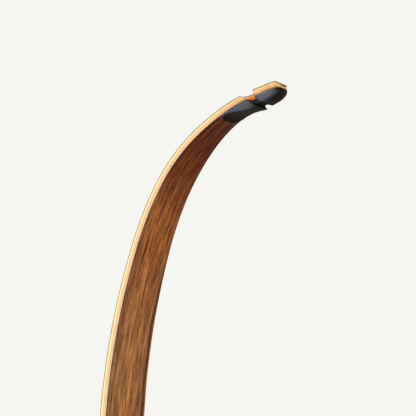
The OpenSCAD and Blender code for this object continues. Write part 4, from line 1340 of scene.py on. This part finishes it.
class BOW_OT_limb_bolts(bpy.types.Operator):
    """Builds the limb bolts with their knobs and threads, and the washers under them"""

    bl_idname = "bow.limb_bolts"
    bl_label = "Limb bolts"

    NECK, SEAT = 2, 0.72  # height of the knob's narrower foot, and its radius as a share of the knob's
    RIM = 1.6  # radius of the knob's rounded rim
    SCALLOPS, SCALLOP_R, SCALLOP_OUT = 12, 2.1, 1.1  # finger grips: count, radius, place outside the rim
    SOCKET_DEEP, THREAD_OVER = 5, 6  # depth of the socket; length of the thread past the insert
    WASHER_EASED = 0.25

    def bolt(self, limb, fit):
        """A bolt on Z, the underside of its knob at nothing"""
        r, h, neck, seat = fit.knob_r, fit.knob_h, self.NECK, fit.knob_r * self.SEAT
        foot = -(limb.butt_t + fit.washer_t + fit.bolt_engage)
        threaded = foot + fit.bolt_engage + self.THREAD_OVER
        core = fit.bolt_r - fit.coarse_pitch * THREAD_DEPTH
        shank = [(0, foot), (core - 0.6, foot), (core, foot + 0.6), (core, threaded), (fit.bolt_r, threaded + 0.7),
                 (fit.bolt_r, 0)]
        side = [(seat - 0.2, 0), (seat, 0.2), (seat, neck), (r - 1, neck), (r, neck + 1)]
        side += [(r - self.RIM + self.RIM * math.cos(a), h - self.RIM + self.RIM * math.sin(a)) for a in quarter(6)]
        # A turned ring on top of the knob, round the socket
        top = [(r * 0.62, h), (r * 0.6, h - 0.35), (r * 0.54, h - 0.35), (r * 0.52, h), (0, h)]
        grip = Matrix.Translation(((r + self.SCALLOP_OUT) * MM, 0, 0))
        tools = [moved(cylinder(self.SCALLOP_R, neck - 1, h + 1, 32), turn @ grip) for turn in (
            Matrix.Rotation(i * TURN / self.SCALLOPS, 4, "Z") for i in range(self.SCALLOPS))]
        socket = cylinder(fit.socket_af / math.sqrt(3), h - self.SOCKET_DEEP, h + 1, 6)
        knob = cut_away(turned(shank + side + top, 96), join(*tools, socket))
        return join(knob, thread(fit.bolt_r, fit.coarse_pitch, foot + 0.9, threaded - 0.2))

    def execute(self, context):
        limb, fit, paint = LimbShape(), read(context.scene.bow_fittings), read(context.scene.bow_colours)
        steel = metal_finish("satin steel", paint.steel, 0.30, 0.8)
        black = metal_finish("black oxide", paint.black_oxide, 0.42, 0.6)
        under_knob = limb.butt_t + fit.washer_t
        for end in LIMBS:
            place = on_pad(limb, fit.bolt_at, end == "lower")
            bolt = moved(self.bolt(limb, fit), place @ Matrix.Translation((0, 0, under_knob * MM)))
            piece(f"{end}_limb_bolt", bolt, [steel], f"{end}_bolt", "steel", 32)
            ring = tube_profile(fit.washer_r, fit.bolt_r + BOLT_PLAY, limb.butt_t, under_knob,
                                self.WASHER_EASED, self.WASHER_EASED)
            piece(f"{end}_limb_washer", moved(turned(ring, 72), place), [black], f"{end}_limb", "blued_steel")
        return {"FINISHED"}


class BOW_OT_shelf_pad(bpy.types.Operator):
    """Builds the leather pad on the arrow shelf"""

    bl_idname = "bow.shelf_pad"
    bl_label = "Shelf pad"

    GAP = 0.05  # clearance over the shelf and beside the window's wall
    CORNER_R, RIM_R = 6, 0.7

    def rounded(self, bm, edges, radius, segments):
        bmesh.ops.bevel(bm, geom=edges, offset=radius * MM, offset_type="OFFSET", affect="EDGES", segments=segments,
                        profile=0.5, material=-1)

    def execute(self, context):
        r = read(context.scene.bow_riser)
        inner, outer = -r.past_centre + r.shelf_fillet + self.GAP, r.window_half_w - 5
        back, fore, low = -8, r.grip_front - 8, r.shelf_h + self.GAP
        high = low + r.shelf_pad_t
        bm = bmesh.new()
        corners = [(back, inner), (fore, inner), (fore, outer), (back, outer)]
        base = bm.faces.new([bm.verts.new(Vector((x, y, low)) * MM) for x, y in corners])
        top = bmesh.ops.extrude_face_region(bm, geom=[base])["geom"]
        lifted = [v for v in top if isinstance(v, bmesh.types.BMVert)]
        bmesh.ops.translate(bm, verts=lifted, vec=(0, 0, (high - low) * MM))
        upright = [e for e in bm.edges if abs(e.verts[0].co.z - e.verts[1].co.z) > 0.5 * MM]
        self.rounded(bm, [e for e in upright if e.verts[0].co.y > (outer - 0.1) * MM], self.CORNER_R, 10)
        rim = [e for e in bm.edges if all(v.co.z > (high - 0.01) * MM for v in e.verts)]
        self.rounded(bm, rim, self.RIM_R, 4)
        bmesh.ops.recalc_face_normals(bm, faces=bm.faces)
        suede = leather_finish("suede leather", read(context.scene.bow_colours).leather)
        piece("arrow_shelf_pad", bm, [suede], "riser", "shelf_leather")
        return {"FINISHED"}


# Stage


CAMERA_TARGET = (0.0743, -0.00025, 0.6196)
CAMERA_AZIMUTH = 45.0
CAMERA_ELEVATION = -20.0
CAMERA_DISTANCE = 2.0
CAMERA_LENS = 254.4
BACKDROP = (0.913, 0.922, 0.880)
# Name, azimuth, elevation, distance in metres, size in metres, power in watts, colour, what it is aimed at
LAMPS = (
    ("key", -20, 28, 2.6, 1.3, 39, (1.0, 0.97, 0.92), (0.08, 0, 0.35)),
    ("face", 78, 34, 2.8, 1.2, 34, (1.0, 0.97, 0.93), (0.08, 0, 0.35)),
    ("rim", 190, 40, 3.0, 1.2, 16, (1.0, 0.98, 0.95), (0.08, 0, 0.35)),
    ("low glow", -34, -50, 1.3, 0.4, 5, (0.84, 0.92, 1.0), (0.1, 0, 0.66)),
)


def toward(azimuth, elevation):
    """Direction from the bow: azimuth 0 is the archer's right, 90 the target"""
    a, e = math.radians(azimuth), math.radians(elevation)
    return Vector((math.sin(a) * math.cos(e), -math.cos(a) * math.cos(e), math.sin(e)))


def aimed(ob, azimuth, elevation, distance, target):
    ob.location = Vector(target) + toward(azimuth, elevation) * distance
    ob.rotation_euler = (Vector(target) - ob.location).to_track_quat("-Z", "Y").to_euler()


class BOW_OT_stage(bpy.types.Operator):
    """Builds the floor, the pale surroundings, the soft lamps and the camera"""

    bl_idname = "bow.stage"
    bl_label = "Stage"

    FLOOR_HALF, FLOOR_GAP = 4, 0.0005  # half the floor's side, and how far it lies under the bow, in metres
    GLOW_FROM, GLOW_FULL = 0.4, 1.5  # where the floor starts to run out into the backdrop, and where it has

    def seen(self, tree):
        """One for the rays that see the backdrop itself, nothing for those that only carry its light"""
        rays = add(tree, "ShaderNodeLightPath")
        mirrored = maths(tree, "MAXIMUM", rays.outputs["Is Glossy Ray"], rays.outputs["Is Transmission Ray"])
        return maths(tree, "MAXIMUM", rays.outputs["Is Camera Ray"], mirrored)

    def surroundings(self):
        world = bpy.data.worlds.new("studio")
        bpy.context.scene.world = world
        world.use_nodes = True
        tree = world.node_tree
        tree.nodes.clear()
        soft = add(tree, "ShaderNodeBackground", Color=(1.0, 0.98, 0.95, 1), Strength=0.36)
        plain = add(tree, "ShaderNodeBackground", Color=(*BACKDROP, 1), Strength=1.0)
        chosen = add(tree, "ShaderNodeMixShader", _0=self.seen(tree), _1=soft.outputs[0], _2=plain.outputs[0])
        add(tree, "ShaderNodeOutputWorld", Surface=chosen.outputs[0])

    def floor(self, paint):
        material, tree = start_finish("pale floor", Roughness=0.9, Specular_IOR_Level=0.1)
        place = place_of(tree)
        end_finish(material, tones(tree, grain(tree, place, (3, 3, 3), 2, 0.5), paint.floor, (0.3, 0.98), (0.7, 1.01)))
        # Away from the bow and its shadow the floor runs out into the backdrop, for the eye and for mirrors
        away = add(tree, "ShaderNodeVectorMath", {"operation": "LENGTH"}, _0=place).outputs["Value"]
        fading = maths(tree, "MULTIPLY", self.seen(tree), eased(tree, away, self.GLOW_FROM, self.GLOW_FULL))
        glow = add(tree, "ShaderNodeEmission", Color=(*BACKDROP, 1), Strength=1.0)
        mixed = add(tree, "ShaderNodeMixShader", _0=fading, _1=tree.nodes["Principled BSDF"].outputs["BSDF"],
                    _2=glow.outputs["Emission"])
        tree.links.new(mixed.outputs["Shader"], tree.nodes["Material Output"].inputs["Surface"])
        bm = bmesh.new()
        bmesh.ops.create_grid(bm, x_segments=8, y_segments=8, size=self.FLOOR_HALF)
        bmesh.ops.translate(bm, verts=bm.verts, vec=(0, 0, CAD_BOX[0][2] - self.FLOOR_GAP))
        ob = shown("studio_floor", mesh_from("studio_floor", bm))
        ob.data.materials.append(material)

    def lamps(self):
        for name, azimuth, elevation, distance, size, power, tint, target in LAMPS:
            data = bpy.data.lights.new(name, "AREA")
            data.shape, data.size, data.energy, data.color = "DISK", size, power, tint
            ob = shown(name, data)
            ob.visible_camera = False
            aimed(ob, azimuth, elevation, distance, target)

    def camera(self):
        data = bpy.data.cameras.new("photo_view")
        data.lens, data.sensor_width, data.clip_start, data.clip_end = CAMERA_LENS, 36, 0.05, 30
        ob = shown("photo_view", data)
        aimed(ob, CAMERA_AZIMUTH, CAMERA_ELEVATION, CAMERA_DISTANCE, CAMERA_TARGET)
        return ob

    def execute(self, context):
        context.scene.view_settings.view_transform = "Standard"
        self.surroundings()
        self.floor(read(context.scene.bow_colours))
        self.lamps()
        bpy.context.scene.camera = self.camera()
        return {"FINISHED"}


# Add-on


class BOW_PT_panel(bpy.types.Panel):
    """Lists the bow's pieces and its sizes"""

    bl_idname = "BOW_PT_panel"
    bl_label = "Recurve bow"
    bl_space_type = "VIEW_3D"
    bl_region_type = "UI"
    bl_category = "Bow"

    def draw(self, context):
        for operator in OPERATORS:
            self.layout.operator(operator.bl_idname)
        for name, group in GROUPS.items():
            box = self.layout.box()
            box.label(text=group.__doc__)
            settings = getattr(context.scene, name)
            for prop in group.__annotations__:
                box.prop(settings, prop)


GROUPS = {
    "bow_limb": BowLimb, "bow_tip": BowTip, "bow_riser": BowRiser, "bow_fittings": BowFittings,
    "bow_colours": BowColours,
}
OPERATORS = (
    BOW_OT_stage, BOW_OT_riser, BOW_OT_bushings, BOW_OT_limb_seats, BOW_OT_limb_cores, BOW_OT_limb_facings,
    BOW_OT_tip_overlays, BOW_OT_limb_bolts, BOW_OT_shelf_pad,
)
CLASSES = (*GROUPS.values(), *OPERATORS, BOW_PT_panel)


def register():
    for cls in CLASSES:
        bpy.utils.register_class(cls)
    for name, group in GROUPS.items():
        setattr(bpy.types.Scene, name, PointerProperty(type=group))


def unregister():
    for name in GROUPS:
        delattr(bpy.types.Scene, name)
    for cls in reversed(CLASSES):
        bpy.utils.unregister_class(cls)


def main():
    register()
    for operator in OPERATORS:
        family, name = operator.bl_idname.split(".")
        getattr(getattr(bpy.ops, family), name)()
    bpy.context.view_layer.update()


if __name__ == "__main__":
    main()
